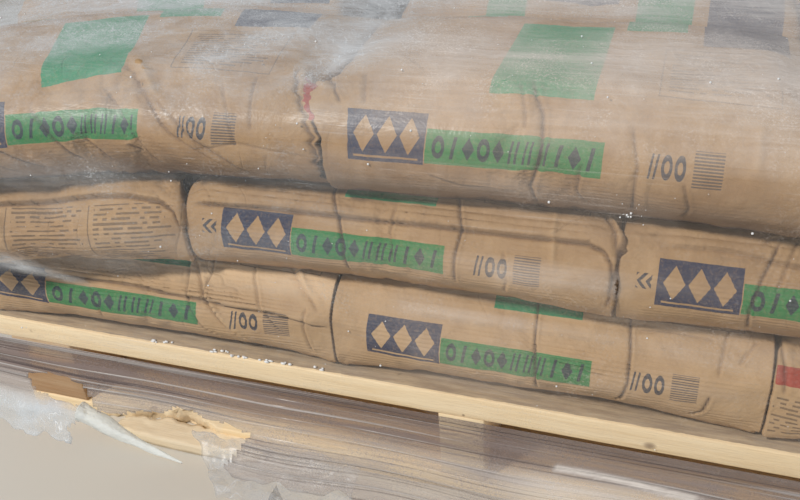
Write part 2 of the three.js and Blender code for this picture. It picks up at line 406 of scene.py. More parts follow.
class Block:  # a block with elliptical edges, worked out for the points of a block grid
    def __init__(self, grid, size, upper, lower):
        self.half = np.array(size) / 2
        height = smoothStep(grid[:, 2:] / 2 + 0.5)
        self.upper, self.lower = np.array(upper), np.array(lower)
        self.round = self.lower * (1 - height) + self.upper * height
        self.flat = self.half - self.round
        share = self.flat / (self.flat + sack["edgeCells"] * self.round)
        reach = np.abs(grid)
        sign = np.sign(grid)
        self.base = np.where(reach <= share, grid / share * self.flat, sign * self.flat)
        self.over = sign * np.tan(np.clip((reach - share) / (1 - share), 0, 1) * math.pi / 4)
        squareness = sack["corner"]
        flatLength = (np.abs(self.over[:, :2]) ** squareness).sum(axis=1) ** (1 / squareness)
        length = np.hypot(flatLength, self.over[:, 2])[:, None]
        self.points = self.base + self.over / np.maximum(length, 1e-9) * self.round

    def arc(self, angle, first, second, up):  # length along an elliptical edge from its first axis
        steps = np.linspace(0, math.pi / 2, 60)
        lengths = []
        for reach in (self.upper, self.lower):
            pieces = np.hypot(np.diff(reach[first] * np.cos(steps)), np.diff(reach[second] * np.sin(steps)))
            lengths.append(np.interp(angle, steps, np.concatenate([[0], np.cumsum(pieces)])))
        return np.where(up, *lengths)

    # Distance along a side and, from the side's middle height, round over the top and the bottom
    def unroll(self, across, acrossSign, depth, depthSign):
        along = acrossSign * self.points[:, across] + self.half[across]
        toFront = depthSign * self.over[:, depth]
        upward = np.abs(self.over[:, 2])
        up = self.points[:, 2] > 0
        firstAngle = np.arctan2(upward, np.maximum(toFront, 0))
        firstAngle = np.where(upward < 1e-9, 0, firstAngle)
        lastAngle = np.where(toFront < 0, np.arctan2(-toFront, upward), 0)
        inward = self.flat[:, depth] - depthSign * self.base[:, depth]
        girth = np.abs(self.base[:, 2]) + self.arc(firstAngle, depth, 2, up)
        girth = girth + np.where(upward > 0, inward, 0) + self.arc(lastAngle, 2, depth, up)
        return along, np.where(up, girth, -girth)


# For each side, what Block.unroll takes, and where the side starts on the UV map
sides = {
    "front": ((0, 1, 1, -1), 0),
    "back": ((0, -1, 1, 1), 0),
    "left": ((1, -1, 0, -1), 1),
    "right": ((1, 1, 0, 1), 2),
}
# The side that shows in the front row, for how the sack is turned
shownSide = {0: "front", 1: "left", -1: "right"}


def crowded(line, towards):  # moves grid lines of -1 to 1 towards one end
    return line + towards * sack["crowd"] * (1 - line ** 2)


def refineFront(bm, quarter):  # cuts the cells that the camera sees close by into smaller ones
    axis, sign = (0, -quarter) if quarter else (1, -1)
    seen = []
    for face in bm.faces:
        middle = face.calc_center_median()
        onTop = middle.z > 0.999 and sign * middle[axis] > sack["fineDepth"]
        if onTop or sign * middle[axis] > 0.999:
            seen.append(face)
    edges = list({edge for face in seen for edge in face.edges})
    bmesh.ops.subdivide_edges(bm, edges=edges, cuts=sack["fineCuts"], use_grid_fill=True)


def sackGrid(quarter, front, fine):
    cell = [sack["faceCell"] if front else sack["plainCell"]] * 3
    if front:
        cell[0 if quarter else 1] = sack["depthCell"]
    bm = blockGrid([max(4, round(side / width / 2) * 2) for side, width in zip(sackSize, cell)])
    if fine:
        refineFront(bm, quarter)
    return bm


def emptySides(quarter):
    ends, faces, top = sack["empty"]
    return np.array((faces, ends, top) if quarter else (ends, faces, top))


def sackBlock(name, grid, quarter, front):  # the sack's shape for the points of a grid
    grid = grid.copy()
    if front and quarter:
        grid[:, 0] = crowded(grid[:, 0], -quarter)
    elif front:
        grid[:, 1] = crowded(grid[:, 1], -1)
    reaches = rounding["bent" if name == bentSack else layerOf(name)]
    upper, lower = reaches["upper"], reaches["lower"]
    if quarter:
        upper, lower = (upper[1], upper[0], upper[2]), (lower[1], lower[0], lower[2])
    block = Block(grid, sackSize - sack["gap"] - 2 * emptySides(quarter), upper, lower)
    points = block.points.copy()
    if layerOf(name) == "3":
        lift = np.clip(block.over[:, 2], 0, 1)
        lengthwise, crosswise = sack["crownShape"]
        along, across, _ = (points / block.half).T
        lift *= (1 - along ** lengthwise) * (1 - across ** crosswise)
        points[:, 2] += sack["crown"] * lift
    return block, points


def carried(grid, move, finer):  # how the points of a finer grid move with those of a grid
    tree = KDTree(len(grid))
    for index, point in enumerate(grid.tolist()):
        tree.insert(point, index)
    tree.balance()
    moved = np.empty((len(finer), 3))
    for index, point in enumerate(finer.tolist()):
        near = tree.find_n(point, 4)
        weights = np.array([1 / (distance + 1e-3) ** 2 for _, _, distance in near])
        moved[index] = weights @ move[[found for _, found, _ in near]] / weights.sum()
    return moved


def layWrap(name, mesh, grid, block):  # the UV map in metres: the tube of the sack, and its ends beside it
    loops, starts = getCorners(mesh)
    corners = np.diff(np.append(starts, len(loops)))
    polygonOf = np.repeat(np.arange(len(starts)), corners)
    centre = np.add.reduceat(grid[loops], starts, axis=0) / corners[:, None]
    kind = np.full(len(centre), 0)
    kind[centre[:, 1] > 0.9999] = 1
    kind[centre[:, 0] < -0.9999] = 2
    kind[centre[:, 0] > 0.9999] = 3
    uv = np.zeros((len(loops), 2))
    for number, (axes, start) in enumerate(sides.values()):
        chosen = kind[polygonOf] == number
        along, girth = block.unroll(*axes)
        uv[chosen, 0] = np.interp(along[loops[chosen]], *trait(name, "printSpread")) + start
        uv[chosen, 1] = girth[loops[chosen]] - trait(name, "printUp")
    layer = mesh.uv_layers.new(name="wrap")
    layer.data.foreach_set("uv", uv.astype(np.float32).ravel())


def bent(points, angle):  # turns what lies left of the bend's start towards -Y
    radius = bend["length"] / angle
    left = bend["start"] - points[:, 0]
    phi = np.clip(left, 0, bend["length"]) / radius
    past = np.maximum(left - bend["length"], 0)
    kept = np.maximum(-left, 0)
    across = radius + points[:, 1]
    x = bend["start"] + kept - across * np.sin(phi) - past * np.cos(phi)
    y = across * np.cos(phi) - radius - past * np.sin(phi)
    return np.stack([x, y, points[:, 2]], axis=1)


def nominalPlaces():  # name, middle of the sack, and how it is turned: 0 along X, else a quarter turn
    places = []
    for layer in range(3):
        headersAtLeft = layer == 1
        z = deckTop + (layer + 0.5) * sack["height"]
        start = -palletLength / 2 + (sack["width"] if headersAtLeft else 0)
        headerX = (-1 if headersAtLeft else 1) * (palletLength - sack["width"]) / 2
        quarter = 1 if headersAtLeft else -1
        for row in range(3):
            for place in range(2):
                middle = (start + (place + 0.5) * sack["length"], (row - 1) * sack["width"], z)
                places.append((f"sack_layer{layer + 1}_row{row + 1}_{place + 1}", middle, 0))
        for place in range(2):
            middle = (headerX, (place - 0.5) * sack["length"], z)
            places.append((f"sack_layer{layer + 1}_header_{place + 1}", middle, quarter))
    return places


def placeOf(name, middle, quarter):  # the matrix from a sack's own axes to the pallet's
    half = Vector((sack["length"], sack["width"], 0)) / 2
    if quarter:
        half = half.yxz
    corner = Vector(middle) + Vector((half.x, -half.y, 0))
    turn = Matrix.Rotation(math.radians(trait(name, "turn")), 4, "Z")
    move = Matrix.Translation((*trait(name, "move"), 0))
    about = Matrix.Translation(corner) @ turn @ Matrix.Translation(-corner)
    return move @ about @ Matrix.Translation(middle) @ Matrix.Rotation(quarter * math.pi / 2, 4, "Z")


filling = {
    "quality": 4,
    "mass": 0.3,
    "tension_stiffness": 30,
    "compression_stiffness": 30,
    "shear_stiffness": 12,
    "bending_stiffness": 4,
    "shrink_min": -0.02,
    "use_pressure": True,
    "uniform_pressure_force": 4,
}


def stuff(pieces, frames=12):  # fills the sacks by cloth simulation with pressure from inside
    for piece in pieces:
        cloth = piece.modifiers.new("filling", "CLOTH")
        for name, value in filling.items():
            setattr(cloth.settings, name, value)
        cloth.settings.effector_weights.gravity = 0
        cloth.collision_settings.use_collision = False
    for step in range(1, frames + 1):
        bpy.context.scene.frame_set(step)
    graph = bpy.context.evaluated_depsgraph_get()
    swollen = {piece.name: getPoints(piece.evaluated_get(graph).to_mesh()) for piece in pieces}
    for piece in pieces:
        piece.modifiers.clear()
    bpy.context.scene.frame_set(1)
    return swollen


def settle(points, swollen, room, low, high):  # keeps the swelling inside the sack's room
    move = swollen - points
    length = np.linalg.norm(move, axis=1, keepdims=True)
    moved = points + move * np.minimum(1, sack["swell"] / np.maximum(length, 1e-9))
    return np.clip(moved, -room - np.array(low), room + np.array(high))


def proudSides(name, quarter):  # how far each side of a sack may stand out of its room
    low, high = [0, 0, 0], [0, 0, 0]
    if layerOf(name) == "3":
        high[2] = sack["crown"] + sack["crownSpare"]
    if "row1" in name or "header_1" in name:
        if quarter == 0:
            low[1] = sack["proud"]
        elif quarter == 1:
            low[0] = sack["proud"]
        else:
            high[0] = sack["proud"]
    return low, high


def lineDistance(along, girth, path):  # signed distance to a line of points, and 0 to 1 along it
    total = sum(math.dist(a, b) for a, b in zip(path, path[1:]))
    best = np.full(len(along), 1e9)
    side = np.ones(len(along))
    share = np.zeros(len(along))
    done = 0
    for (x0, y0), (x1, y1) in zip(path, path[1:]):
        dx, dy = x1 - x0, y1 - y0
        length = math.hypot(dx, dy)
        t = np.clip(((along - x0) * dx + (girth - y0) * dy) / length ** 2, 0, 1)
        away = np.hypot(along - x0 - t * dx, girth - y0 - t * dy)
        nearer = away < best
        best = np.where(nearer, away, best)
        side = np.where(nearer, np.sign(dx * (girth - y0) - dy * (along - x0)), side)
        share = np.where(nearer, (done + t * length) / total, share)
        done += length
    return best * side, share


foldShape = {
    "line": 0.0012,  # the sharp line at the bottom of a groove, darkened with painted shade
    "lip": (1.6, 0.9, 0.30),  # beside a groove: how many widths away, how wide, and how high
    "sink": 0.45,  # how deep the groove, its line and the drop beside a pleat are
    "drop": (0.0012, 0.0019),  # beside a pleat: how far away, and how wide
    "paintedHighlight": 0.5,  # how much painted highlight a ridge gets
}


# A groove sinks along its path and a ridge rises. A pleat stands up on the left of its path and drops
# sharply at it. Each returns the height and the painted shade of the fold, or a ridge's painted highlight.
def foldHeight(along, girth, fold):
    reach, share = lineDistance(along, girth, fold["path"])
    fade, depth, width, sink = fold["fade"], fold["depth"], fold["width"], foldShape["sink"]
    ends = smoothStep(share / fade) * smoothStep((1 - share) / fade)
    near = bell(reach, width) * ends
    if fold["kind"] == "groove":
        line = bell(reach, foldShape["line"]) * ends
        lipAway, lipWidth, lipRise = foldShape["lip"]
        lip = bell(reach - lipAway * width, lipWidth * width) * ends
        return depth * (lipRise * lip - sink * near - sink * line), fold["ink"] * line
    if fold["kind"] == "ridge":
        return depth * near, -foldShape["paintedHighlight"] * fold["ink"] * near
    dropAway, dropWidth = foldShape["drop"]
    cut = bell(reach + dropAway, dropWidth) * ends
    return depth * (np.where(reach > 0, near, 0) - sink * cut), fold["ink"] * cut


# Its folds are written in millimetres, apart from the shares fade and the painted shade's strength
def foldMaker(kind, **usual):
    def fold(*path, **own):
        made = {"kind": kind, "path": [(x / 1000, y / 1000) for x, y in path], **usual, **own}
        return {**made, "depth": made["depth"] / 1000, "width": made["width"] / 1000}
    return fold


crease = foldMaker("groove", depth=2.4, width=1.9, fade=0.12, ink=0.85)  # a thin groove with a line of painted shade
groove = foldMaker("groove", depth=4, width=3.5, fade=0.15, ink=0.6)
ridge = foldMaker("ridge", depth=3, width=4, fade=0.3, ink=0.5)
pleat = foldMaker("pleat", depth=6, width=20, fade=0.08, ink=0.7)


# The folds that each sack in the front row shows: places along its front and heights round it
frontFolds = {
    "sack_layer3_row1_2": [
        groove((205, 100), (212, 75), (222, 57), (225, 37), (226, 19), (221, 4), (216, -12), (218, -34),
               (219, -60), depth=3.8, width=2.6, ink=0.9),
        crease((196, 90), (206, 56), (208, 40), ink=0.4),
        groove((297, 60), (307, 20), (306, -20), (304, -50), depth=3, width=5),
        crease((262, 20), (258, -10), (268, -35), ink=0.4),
        crease((120, -4), (150, -16), (205, -20), ink=0.35),
        crease((345, 12), (352, -15), (346, -45), ink=0.45),
        ridge((398, 70), (400, 20), depth=2),
        crease((49, 113), (57, 65), (59, 53), ink=0.4),
        crease((3, 112), (20, 80), (41, 53), depth=3, ink=0.8),
        ridge((0, 95), (22, 66)),
    ],
    "sack_layer3_row1_1": [
        groove((190, 140), (212, 116), (271, 53), (311, 16), (357, -13), (375, -30), depth=7, width=7,
               fade=0.42, ink=0.4),
        ridge((205, 140), (228, 116), (287, 50), (327, 16), width=7, fade=0.45),
        groove((279, 54), (317, 29), (334, 13), (369, -12), (388, -35), depth=5, width=5, ink=0.4),
        groove((130, 45), (144, 27), (165, -8), (178, -25), width=4),
        groove((92, 6), (112, -12), (132, -30), width=4),
        groove((185, 10), (205, -8), (222, -30), width=4),
        groove((245, 5), (270, -10), (300, -32), width=4),
        ridge((120, 0), (147, -26)),
        crease((385, 85), (390, 50), (395, 23), ink=0.5),
        crease((415, 118), (428, 80), (438, 52), (442, 10), (446, -30), depth=4),
        crease((60, 20), (85, -12), (105, -32), ink=0.5),
        crease((215, 60), (252, 20), (282, -12), (305, -35), ink=0.4),
        crease((355, 70), (372, 30), (380, 5), ink=0.3),
        ridge((405, 100), (440, 90), depth=4, width=6),
        groove((330, 0), (380, 12), (440, 2), depth=3, width=10, ink=0.2),
    ],
    "sack_layer2_row1_1": [
        pleat((8, 38), (83, 42), (165, 42), (297, 43), (380, 44), (418, 44), (434, 38), (442, 26), (445, 0),
              (440, -30), width=22, fade=0.04),
        crease((159, 85), (162, 60), (168, 46), (178, 18), (181, -16), (186, -35), depth=3.4, ink=1),
        crease((286, 85), (298, 43), (295, 17), (295, -20), depth=3, ink=1),
        crease((230, 60), (226, 30), (234, 0), ink=0.35),
        crease((340, 30), (346, -4), (340, -30), ink=0.3),
        ridge((384, 80), (386, 43), (389, 10), depth=2, width=3),
        crease((424, 84), (440, 56), (446, 30), (440, -10), depth=4),
        ridge((430, 80), (446, 50), (448, 20), depth=4, width=3),
    ],
    "sack_layer2_row1_2": [
        crease((136, 68), (127, 41), (123, 30), (116, 0), (119, -40), ink=0.9),
        crease((120, 62), (150, 74), ink=0.5),
        crease((150, 72), (141, 40), (135, 18), ink=0.4),
        pleat((35, 50), (95, 52), (149, 45), (300, 44), depth=4, ink=0.3),
    ],
    "sack_layer2_header_1": [
        pleat((5, 46), (61, 43), (153, 48), (202, 51), (241, 49), (274, 42), (290, 30), (297, 5), width=18,
              fade=0.05),
        groove((0, -20), (60, -34), (130, -40), depth=3, width=4),
        ridge((94, 45), (100, 0), (112, -30), depth=2, width=3),
    ],
    "sack_layer1_row1_1": [
        pleat((20, 26), (69, 26), (130, 28), (202, 27), (302, 21), (397, 15), (445, 6), depth=5, width=22,
              fade=0.06),
        groove((270, 72), (287, 43), (302, 18), (325, -10), (348, -35), width=3, ink=0.5),
        crease((262, 78), (272, 45), (281, 10), (296, -20), (312, -40), ink=0.5),
        crease((296, 76), (300, 50), (296, 24), ink=0.6),
        crease((345, 80), (352, 50), (366, 22), (392, -12), ink=0.4),
        crease((418, 30), (414, 0), (420, -36), ink=0.4),
        crease((150, 20), (162, -8), (158, -30), ink=0.3),
        ridge((300, 26), (325, 0), (350, -25)),
        groove((385, 80), (397, 60), (421, 36), (434, 22), depth=3, width=4, ink=0.3),
        ridge((392, 84), (410, 52), (424, 34), width=3),
    ],
    "sack_layer1_row1_2": [
        crease((219, 85), (222, 58), (224, 30), (228, 0), (229, -40), depth=3, ink=1),
        crease((311, 79), (314, 55), (317, 33), (318, 0), (312, -30), (300, -45), depth=3, ink=1),
        crease((394, 0), (389, -22), (378, -36), depth=3, ink=0.9),
        crease((403, 70), (400, 40), (398, 20), ink=0.4),
        crease((318, 52), (350, 56), (395, 54), ink=0.35),
        crease((430, 60), (415, 34), ink=0.3),
        groove((240, 12), (300, 2), depth=3, width=6, ink=0.2),
    ],
    "sack_layer1_header_1": [
        groove((0, 72), (10, 40), (12, 10), depth=3, width=3),
    ],
}


def addSacks(paper):
    made = {}
    for name, middle, quarter in nominalPlaces():
        front = name in frontFolds
        mesh = meshFrom(sackGrid(quarter, front, False), name)
        grid = getPoints(mesh)
        block, points = sackBlock(name, grid, quarter, front)
        setPoints(mesh, points)
        piece = addPiece(name.replace("sack", "paper_sack"), mesh, paper)
        made[name] = {"piece": piece, "middle": middle, "quarter": quarter, "front": front,
                      "grid": grid, "block": block, "move": np.zeros(grid.shape)}
    swollen = stuff([entry["piece"] for entry in made.values()])
    for name, entry in made.items():
        points = getPoints(entry["piece"].data)
        room = entry["block"].half + emptySides(entry["quarter"])
        proud = proudSides(name, entry["quarter"])
        entry["move"] = settle(points, swollen[entry["piece"].name], room, *proud) - points
    print("sacks filled")
    for number, (name, entry) in enumerate(made.items()):
        finishSack(name, entry, number)
    print("sacks folded and placed")
    return [entry["piece"] for entry in made.values()]


def paintedPaperShade(name, points, girth, meetsEnds):  # how much painted shade darkens the paper at each point, or below 0 painted light lifts it
    dark = rising(girth, *paintedShadeUnder)
    if layerOf(name) == "3":
        dark += rising(girth, *paintedShadeTopLayer)
    else:
        dark += rising(girth, *paintedTopShadingHeights, trait(name, "paintedTopShading"))
    if meetsEnds:
        met = points[:, 0] * trait(name, "openEnd") <= 0
        dark += met * rising(np.abs(points[:, 0]) - sack["length"] / 2, *paintedShadeTouching)
    if name == bentSack:
        dark += rising(points[:, 1] - sack["width"] / 2, *paintedShadeBehindBent)
    return dark


def shaped(name, points, girth):  # gathers the sack's end, moves its ends and bends it
    half = sack["length"] / 2
    if trait(name, "lean"):
        joint = half if name == bentSack else -half
        near = smoothStep(1 - np.abs(points[:, 0] - joint) / gather["reach"])
        zigzag = sum(wide * np.sin(girth * pace + start) for wide, pace, start in gather["ripples"])
        points[:, 0] += near * (zigzag - rising(girth, *gather["leaning"], trait(name, "lean")))
    left, right = trait(name, "ends")
    reach = trait(name, "endReach")
    points[:, 0] += left * np.clip(1 - (points[:, 0] + half) / reach, 0, 1) ** 2
    points[:, 0] += right * np.clip(1 - (half - points[:, 0]) / reach, 0, 1) ** 2
    if trait(name, "bend"):
        # Its right end still lies along the next sack
        near = smoothStep((points[:, 0] - bend["start"]) / bend["length"])
        skew = math.tan(math.radians(trait(name, "turn")))
        points[:, 0] += near * (points[:, 1] + sack["width"] / 2) * skew
        points = bent(points, math.radians(trait(name, "bend")))
    return points


def finishSack(name, entry, number):
    piece, quarter, front = entry["piece"], entry["quarter"], entry["front"]
    mesh, grid, block, move = piece.data, entry["grid"], entry["block"], entry["move"]
    points = getPoints(mesh)
    if front:
        mesh = meshFrom(sackGrid(quarter, True, True), name + "_folded")
        mesh.materials.append(piece.data.materials[0])
        piece.data = mesh
        grid = getPoints(mesh)
        block, points = sackBlock(name, grid, quarter, True)
        move = carried(entry["grid"], move, grid) if move.any() else 0
    setPoints(mesh, points + move)
    layWrap(name, mesh, grid, block)
    axes, _ = sides[shownSide[quarter]]
    along, girth = block.unroll(*axes)
    points = getPoints(mesh)
    height = sum(rise * noiseAt(points, scale, number + seed) for rise, scale, seed in lumps)
    depth, scale, seed = dents
    height -= depth * np.abs(noiseAt(points, scale, number + seed))
    dark = paintedPaperShade(name, points, girth, front and quarter == 0)
    for fold in frontFolds.get(name, []):
        rise, darker = foldHeight(along, girth, fold)
        height = height + rise
        dark = dark + darker
    points = points + getNormals(mesh) * height[:, None]
    setPoints(mesh, shaped(name, points, girth))
    # painted shade in folds and where sacks meet, or below 0 painted light
    setValue(mesh, "fold", dark)
    setValue(mesh, "bent", name == bentSack)
    # painted light on the upper front of a sack and on the paper of its layer
    paintedFrontLight = rising(girth, *paintedFrontLightHeights, trait(name, "paintedFrontLight"))
    setValue(mesh, "paintedLight", paintedLightByLayer[layerOf(name)] + paintedFrontLight)
    setValue(mesh, "chevron", name.startswith("sack_layer2_row1"))
    mesh.transform(placeOf(name, entry["middle"], quarter))
    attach(piece, "root")
    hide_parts(name)


# Kraft paper with its print. The print reads the sack's own UV map, in metres, where the long sides start
# at 0, the left end at 1 and the right end at 2. A field is given by its left, right, low and high edge.

# Colours of the paper and its print, and of the painted shade and painted light on it
ink = {
    "kraft": shade(177, 143, 102),
    "kraftDark": shade(147, 112, 74),
    "stained": shade(130, 98, 68),
    "worn": shade(196, 164, 128),
    "fibre": shade(96, 68, 44),
    # painted light, painted shade and painted highlight
    "paintedLight": shade(222, 190, 150),
    "fold": shade(50, 35, 36),
    "paintedHighlight": shade(222, 196, 160),
    "green": shade(30, 124, 66),
    "topGreen": shade(8, 136, 92),
    "blue": shade(28, 44, 76),
    "navy": shade(36, 46, 62),
    "red": shade(160, 38, 34),
    "fine": shade(70, 56, 46),
    "small": shade(110, 96, 80),
}
stripFields = {
    "panel": (0.041, 0.1215, 0.005, 0.050),
    "rule": (0.047, 0.1155, 0.0085, 0.0105),
    "lozenges": (0.0455, 0.1175, 0.0240),  # from and to along the sack, and their pitch
    "lozengeHigh": 0.029,
    "lozengeSize": (0.44, 0.0160),  # half as wide, in pitches, and half as tall
    "band": (0.1225, 0.279, 0.007, 0.037),
    # Rows of figures, with their pitch and a seed
    "figures": ((0.1275, 0.2760, 0.0115, 0.0325, 0.0135, 3), (0.317, 0.350, 0.0110, 0.0330, 0.0110, 12)),
    "stripes": (0.355, 0.379, 0.008, 0.037),
    "stripePitch": 0.0026,
    "arrows": (0.021, 0.036, 0.0205, 0.0355),
    "arrowPitch": 0.0085,
    "small": (0.090, 0.330, 0.054, 0.062, 0.0085, 21),
}
topFields = {
    "bigGreen": (0.172, 0.264, 0.074, 0.242),
    "greens": ((0.276, 0.336, 0.232, 0.320), (0.105, 0.150, 0.262, 0.300)),
    "blues": ((0.352, 0.428, 0.200, 0.330), (0.170, 0.255, 0.292, 0.322)),
    "box": (0.318, 0.416, 0.084, 0.186),
    "inBox": (0.3192, 0.4148, 0.0852, 0.1848),
    "small": (0.326, 0.408, 0.092, 0.178, 0.0062, 33),
    "ear": (0.4405, 0.470, 0.036, 0.088),
}
endFields = {
    "red": (2.002, 2.026, 0.028, 0.056),
    "rules": ((1.1015, 1.1028, -0.040, 0.046), (1.1935, 1.1948, -0.040, 0.046)),
    # Columns of dashes, with the pitch of their rows and a seed
    "columns": ((1.004, 1.096, -0.040, 0.046, 0.0052, 51), (1.108, 1.188, -0.040, 0.046, 0.0052, 61),
                (1.200, 1.290, -0.040, 0.046, 0.0052, 71), (2.004, 2.060, -0.030, 0.014, 0.0052, 41)),
}


def inside(u, v, left, right, low, high, soft=0.0005):
    du = abs(u - (left + right) / 2) - (right - left) / 2
    dv = abs(v - (low + high) / 2) - (high - low) / 2
    return (du.most(dv) * (-1 / soft) + 0.5).clamp()


def figures(u, v, left, right, low, high, pitch, seed):  # a row of rings, lozenges and slanted bars
    cell = ((u - left) / pitch).floor()
    across = ((u - left) / pitch).fract() - 0.5
    tall = (v - (low + high) / 2) / (high - low)
    reach = (across ** 2 * 1.25 + tall ** 2).root()
    ring = (reach < 0.47) * (reach > 0.23)
    lozenge = (abs(across) * 1.15 + abs(tall)) < 0.47
    slant = abs(across - tall * 0.24)
    pair = (abs(slant - 0.20) < 0.085) * (abs(tall) < 0.46)
    single = (slant < 0.12) * (abs(tall) < 0.46)
    pick = cell.hash(seed)
    figure = ring * (pick < 0.32) + lozenge * (pick > 0.32) * (pick < 0.52)
    figure = figure + pair * (pick > 0.52) * (pick < 0.80) + single * (pick > 0.80)
    return inside(u, v, left, right, low, high) * figure.clamp()


def printLines(u, v, left, right, low, high, pitch, seed):  # rows of short dashes, ragged at the right
    dashPitch, dashHeight, gaps, raggedness = 0.0052, 0.46, 0.24, 0.35
    row = ((v - low) / pitch).floor()
    inRow = ((v - low) / pitch).fract() < dashHeight
    word = ((u - left) / dashPitch + row.hash(seed) * 5).floor()
    dash = (word * 3.7 + row * 17.3).hash(seed + 2) > gaps
    ragged = u < right - (right - left) * raggedness * row.hash(seed + 1)
    return inside(u, v, left, right, low, high) * inRow * dash * ragged


def stripPrint(paper, u, v, straight):  # the print on the long sides
    left, right, pitch = stripFields["lozenges"]
    wide, tall = stripFields["lozengeSize"]
    third = ((u - left) / pitch).fract() - 0.5
    lozenges = (abs(third) / wide + abs(v - stripFields["lozengeHigh"]) / tall) < 1
    lozenges = lozenges * (u > left) * (u < right)
    slope = (abs(v - 0.028) * 0.9 + 0.034 - u) % stripFields["arrowPitch"]
    arrows = (slope < 0.0040) * inside(u, v, *stripFields["arrows"]) * paper.value("chevron")
    dark = (straight / stripFields["stripePitch"]).fract() < 0.55
    panel = inside(u, v, *stripFields["panel"])
    return {
        "blue": panel * (1 - lozenges) * (1 - inside(u, v, *stripFields["rule"])),
        "green": inside(u, v, *stripFields["band"]),
        "navy": union([figures(u, v, *place) for place in stripFields["figures"]] + [arrows]),
        "stripes": inside(u, v, *stripFields["stripes"]) * dark,
        "small": printLines(u, v, *stripFields["small"]),
    }


def topPrint(paper, u, v, wobble):  # the print on the top, which is sheared on the bent sack
    sheared = paper.value("bent")
    across = u + sheared * (0.018 + 0.15 * (v - 0.08))
    slanted = v + sheared * 0.12 * (0.262 - across).clamp()
    edge = wobble * 0.010 + (v - 0.046) * 0.16
    greens = [inside(across, v, *place) for place in topFields["greens"]]
    outline = inside(across, v, *topFields["box"]) - inside(across, v, *topFields["inBox"])
    return {
        "green": union([inside(across, slanted, *topFields["bigGreen"]), *greens]),
        "blue": union([inside(across, v, *place) for place in topFields["blues"]]),
        "fine": printLines(across, v, *topFields["small"]).most(outline),
        "red": inside(u + edge, v, *topFields["ear"]) * sheared,
    }


def endPrint(u, v):
    columns = [printLines(u, v, *place) for place in endFields["columns"]]
    rules = [inside(u, v, *place) for place in endFields["rules"]]
    return {"fine": union(columns + rules), "red": inside(u, v, *endFields["red"])}


def paperFinish():
    paper = Finish("kraft_paper", Roughness=0.72, IOR=1.45)
    place = paper.place()
    wobble = paper.cloud(place, 160, 2) - 0.5
    u, straight, _ = paper.split(paper.uv("wrap"))
    u = u + wobble * 0.0008
    v = straight + wobble * 0.0008
    mottle = paper.cloud(place, 9, 5, 0.65)
    stain = paper.cloud(place, 34, 4, 0.6, 0.6)
    fibre = paper.cloud(paper.stretch(place, (1, 1, 3)), 420, 3, 0.7)
    wear = paper.cloud(place, 300, 4, 0.7).ramp(0.34, 0.50)  # the ink is thin in places
    # painted shade, or below 0 painted light and highlight, for each point of a sack
    fold = paper.value("fold")
    # Fine random creases, only here and there, which painted shade darkens
    there = paper.cloud(place, 8, 2).ramp(0.50, 0.66)
    upright = paper.stretch(place, (1.6, 1.2, 0.42), rotation=(0, 0.25, 0))
    creases = 1 - (1 - abs(paper.cloud(upright, 13, 1, 0.5, 0.1) - 0.5).ramp(0.0, 0.020)) * there
    strips = stripPrint(paper, u, v, straight)
    tops = topPrint(paper, u, v, wobble)
    sheets = endPrint(u, v)
    field = 0.76 + 0.20 * wear
    colour = paper.colour(mottle.ramp(0.3, 0.75), ink["kraft"], ink["kraftDark"])
    layers = (
        (stain.ramp(0.50, 0.72) * 0.35, "stained"),
        (stain.ramp(0.50, 0.28) * 0.30, "worn"),
        ((fibre - 0.5).clamp() * 0.8, "fibre"),
        # painted light
        (paper.value("paintedLight"), "paintedLight"),
        (strips["green"] * field, "green"),
        (tops["green"] * field, "topGreen"),
        (strips["blue"].most(tops["blue"]) * field, "blue"),
        (sheets["red"].most(tops["red"]) * 0.85, "red"),
        (strips["navy"] * (0.70 + 0.22 * wear), "navy"),
        (strips["stripes"] * 0.7, "navy"),
        (sheets["fine"].most(tops["fine"]) * 0.6, "fine"),
        (strips["small"] * 0.14, "small"),
        # painted shade in folds and where sacks meet; below 0, painted highlight and painted light
        (fold.clamp() * 0.85, "fold"),
        ((0 - fold).clamp() * 0.5, "paintedHighlight"),
        # painted shade in the fine creases
        ((1 - creases) * 0.07, "fold"),
    )
    for mask, name in layers:
        colour = paper.colour(mask, colour, ink[name])
    paper.feed(Base_Color=colour)
    crumple = paper.cloud(place, 26, 5, 0.62, 0.4) + 0.25 * paper.cloud(place, 170, 3, 0.6)
    paper.bump(crumple + 0.25 * creases, 0.006, 0.5)
    return paper.material


# Timber

timber = {
    "bevel": 0.0018,
    "cell": 0.02,
    "brokenCell": 0.005,
    "wave": 0.0010,
    "pastEnd": 0.022,  # how far the front deck board runs past the others at its left end
    # Along the front bottom board, and how deep the wood has broken away there
    "broken": ((-0.505, -0.470, -0.452, -0.420, -0.398, -0.366, -0.338, -0.318),
               (0, 0.009, 0.005, 0.017, 0.012, 0.021, 0.008, 0)),
    "raw": (-0.50, -0.31, -0.42),  # its pale part: from and to along it, and up to which depth
    # Painted shade on the wood back from the front edge, below the deck: its start, over what depth, how
    # much, and up to which height
    "inner": (-0.44, 0.03, 0.45),
    "innerTop": 0.1195,
    # how much painted shade the pieces at the left front get, and up to which height
    "brown": {"block_front_left": 0.70, "cross_board_left": 0.55},
    "brownTop": 0.125,
    # The knot and the nail mark in the front deck board: x, z, half as wide, half as tall
    "marks": ((0.199, 0.1285, 0.0075, 0.0055), (0.003, 0.1235, 0.0022, 0.0022)),
}


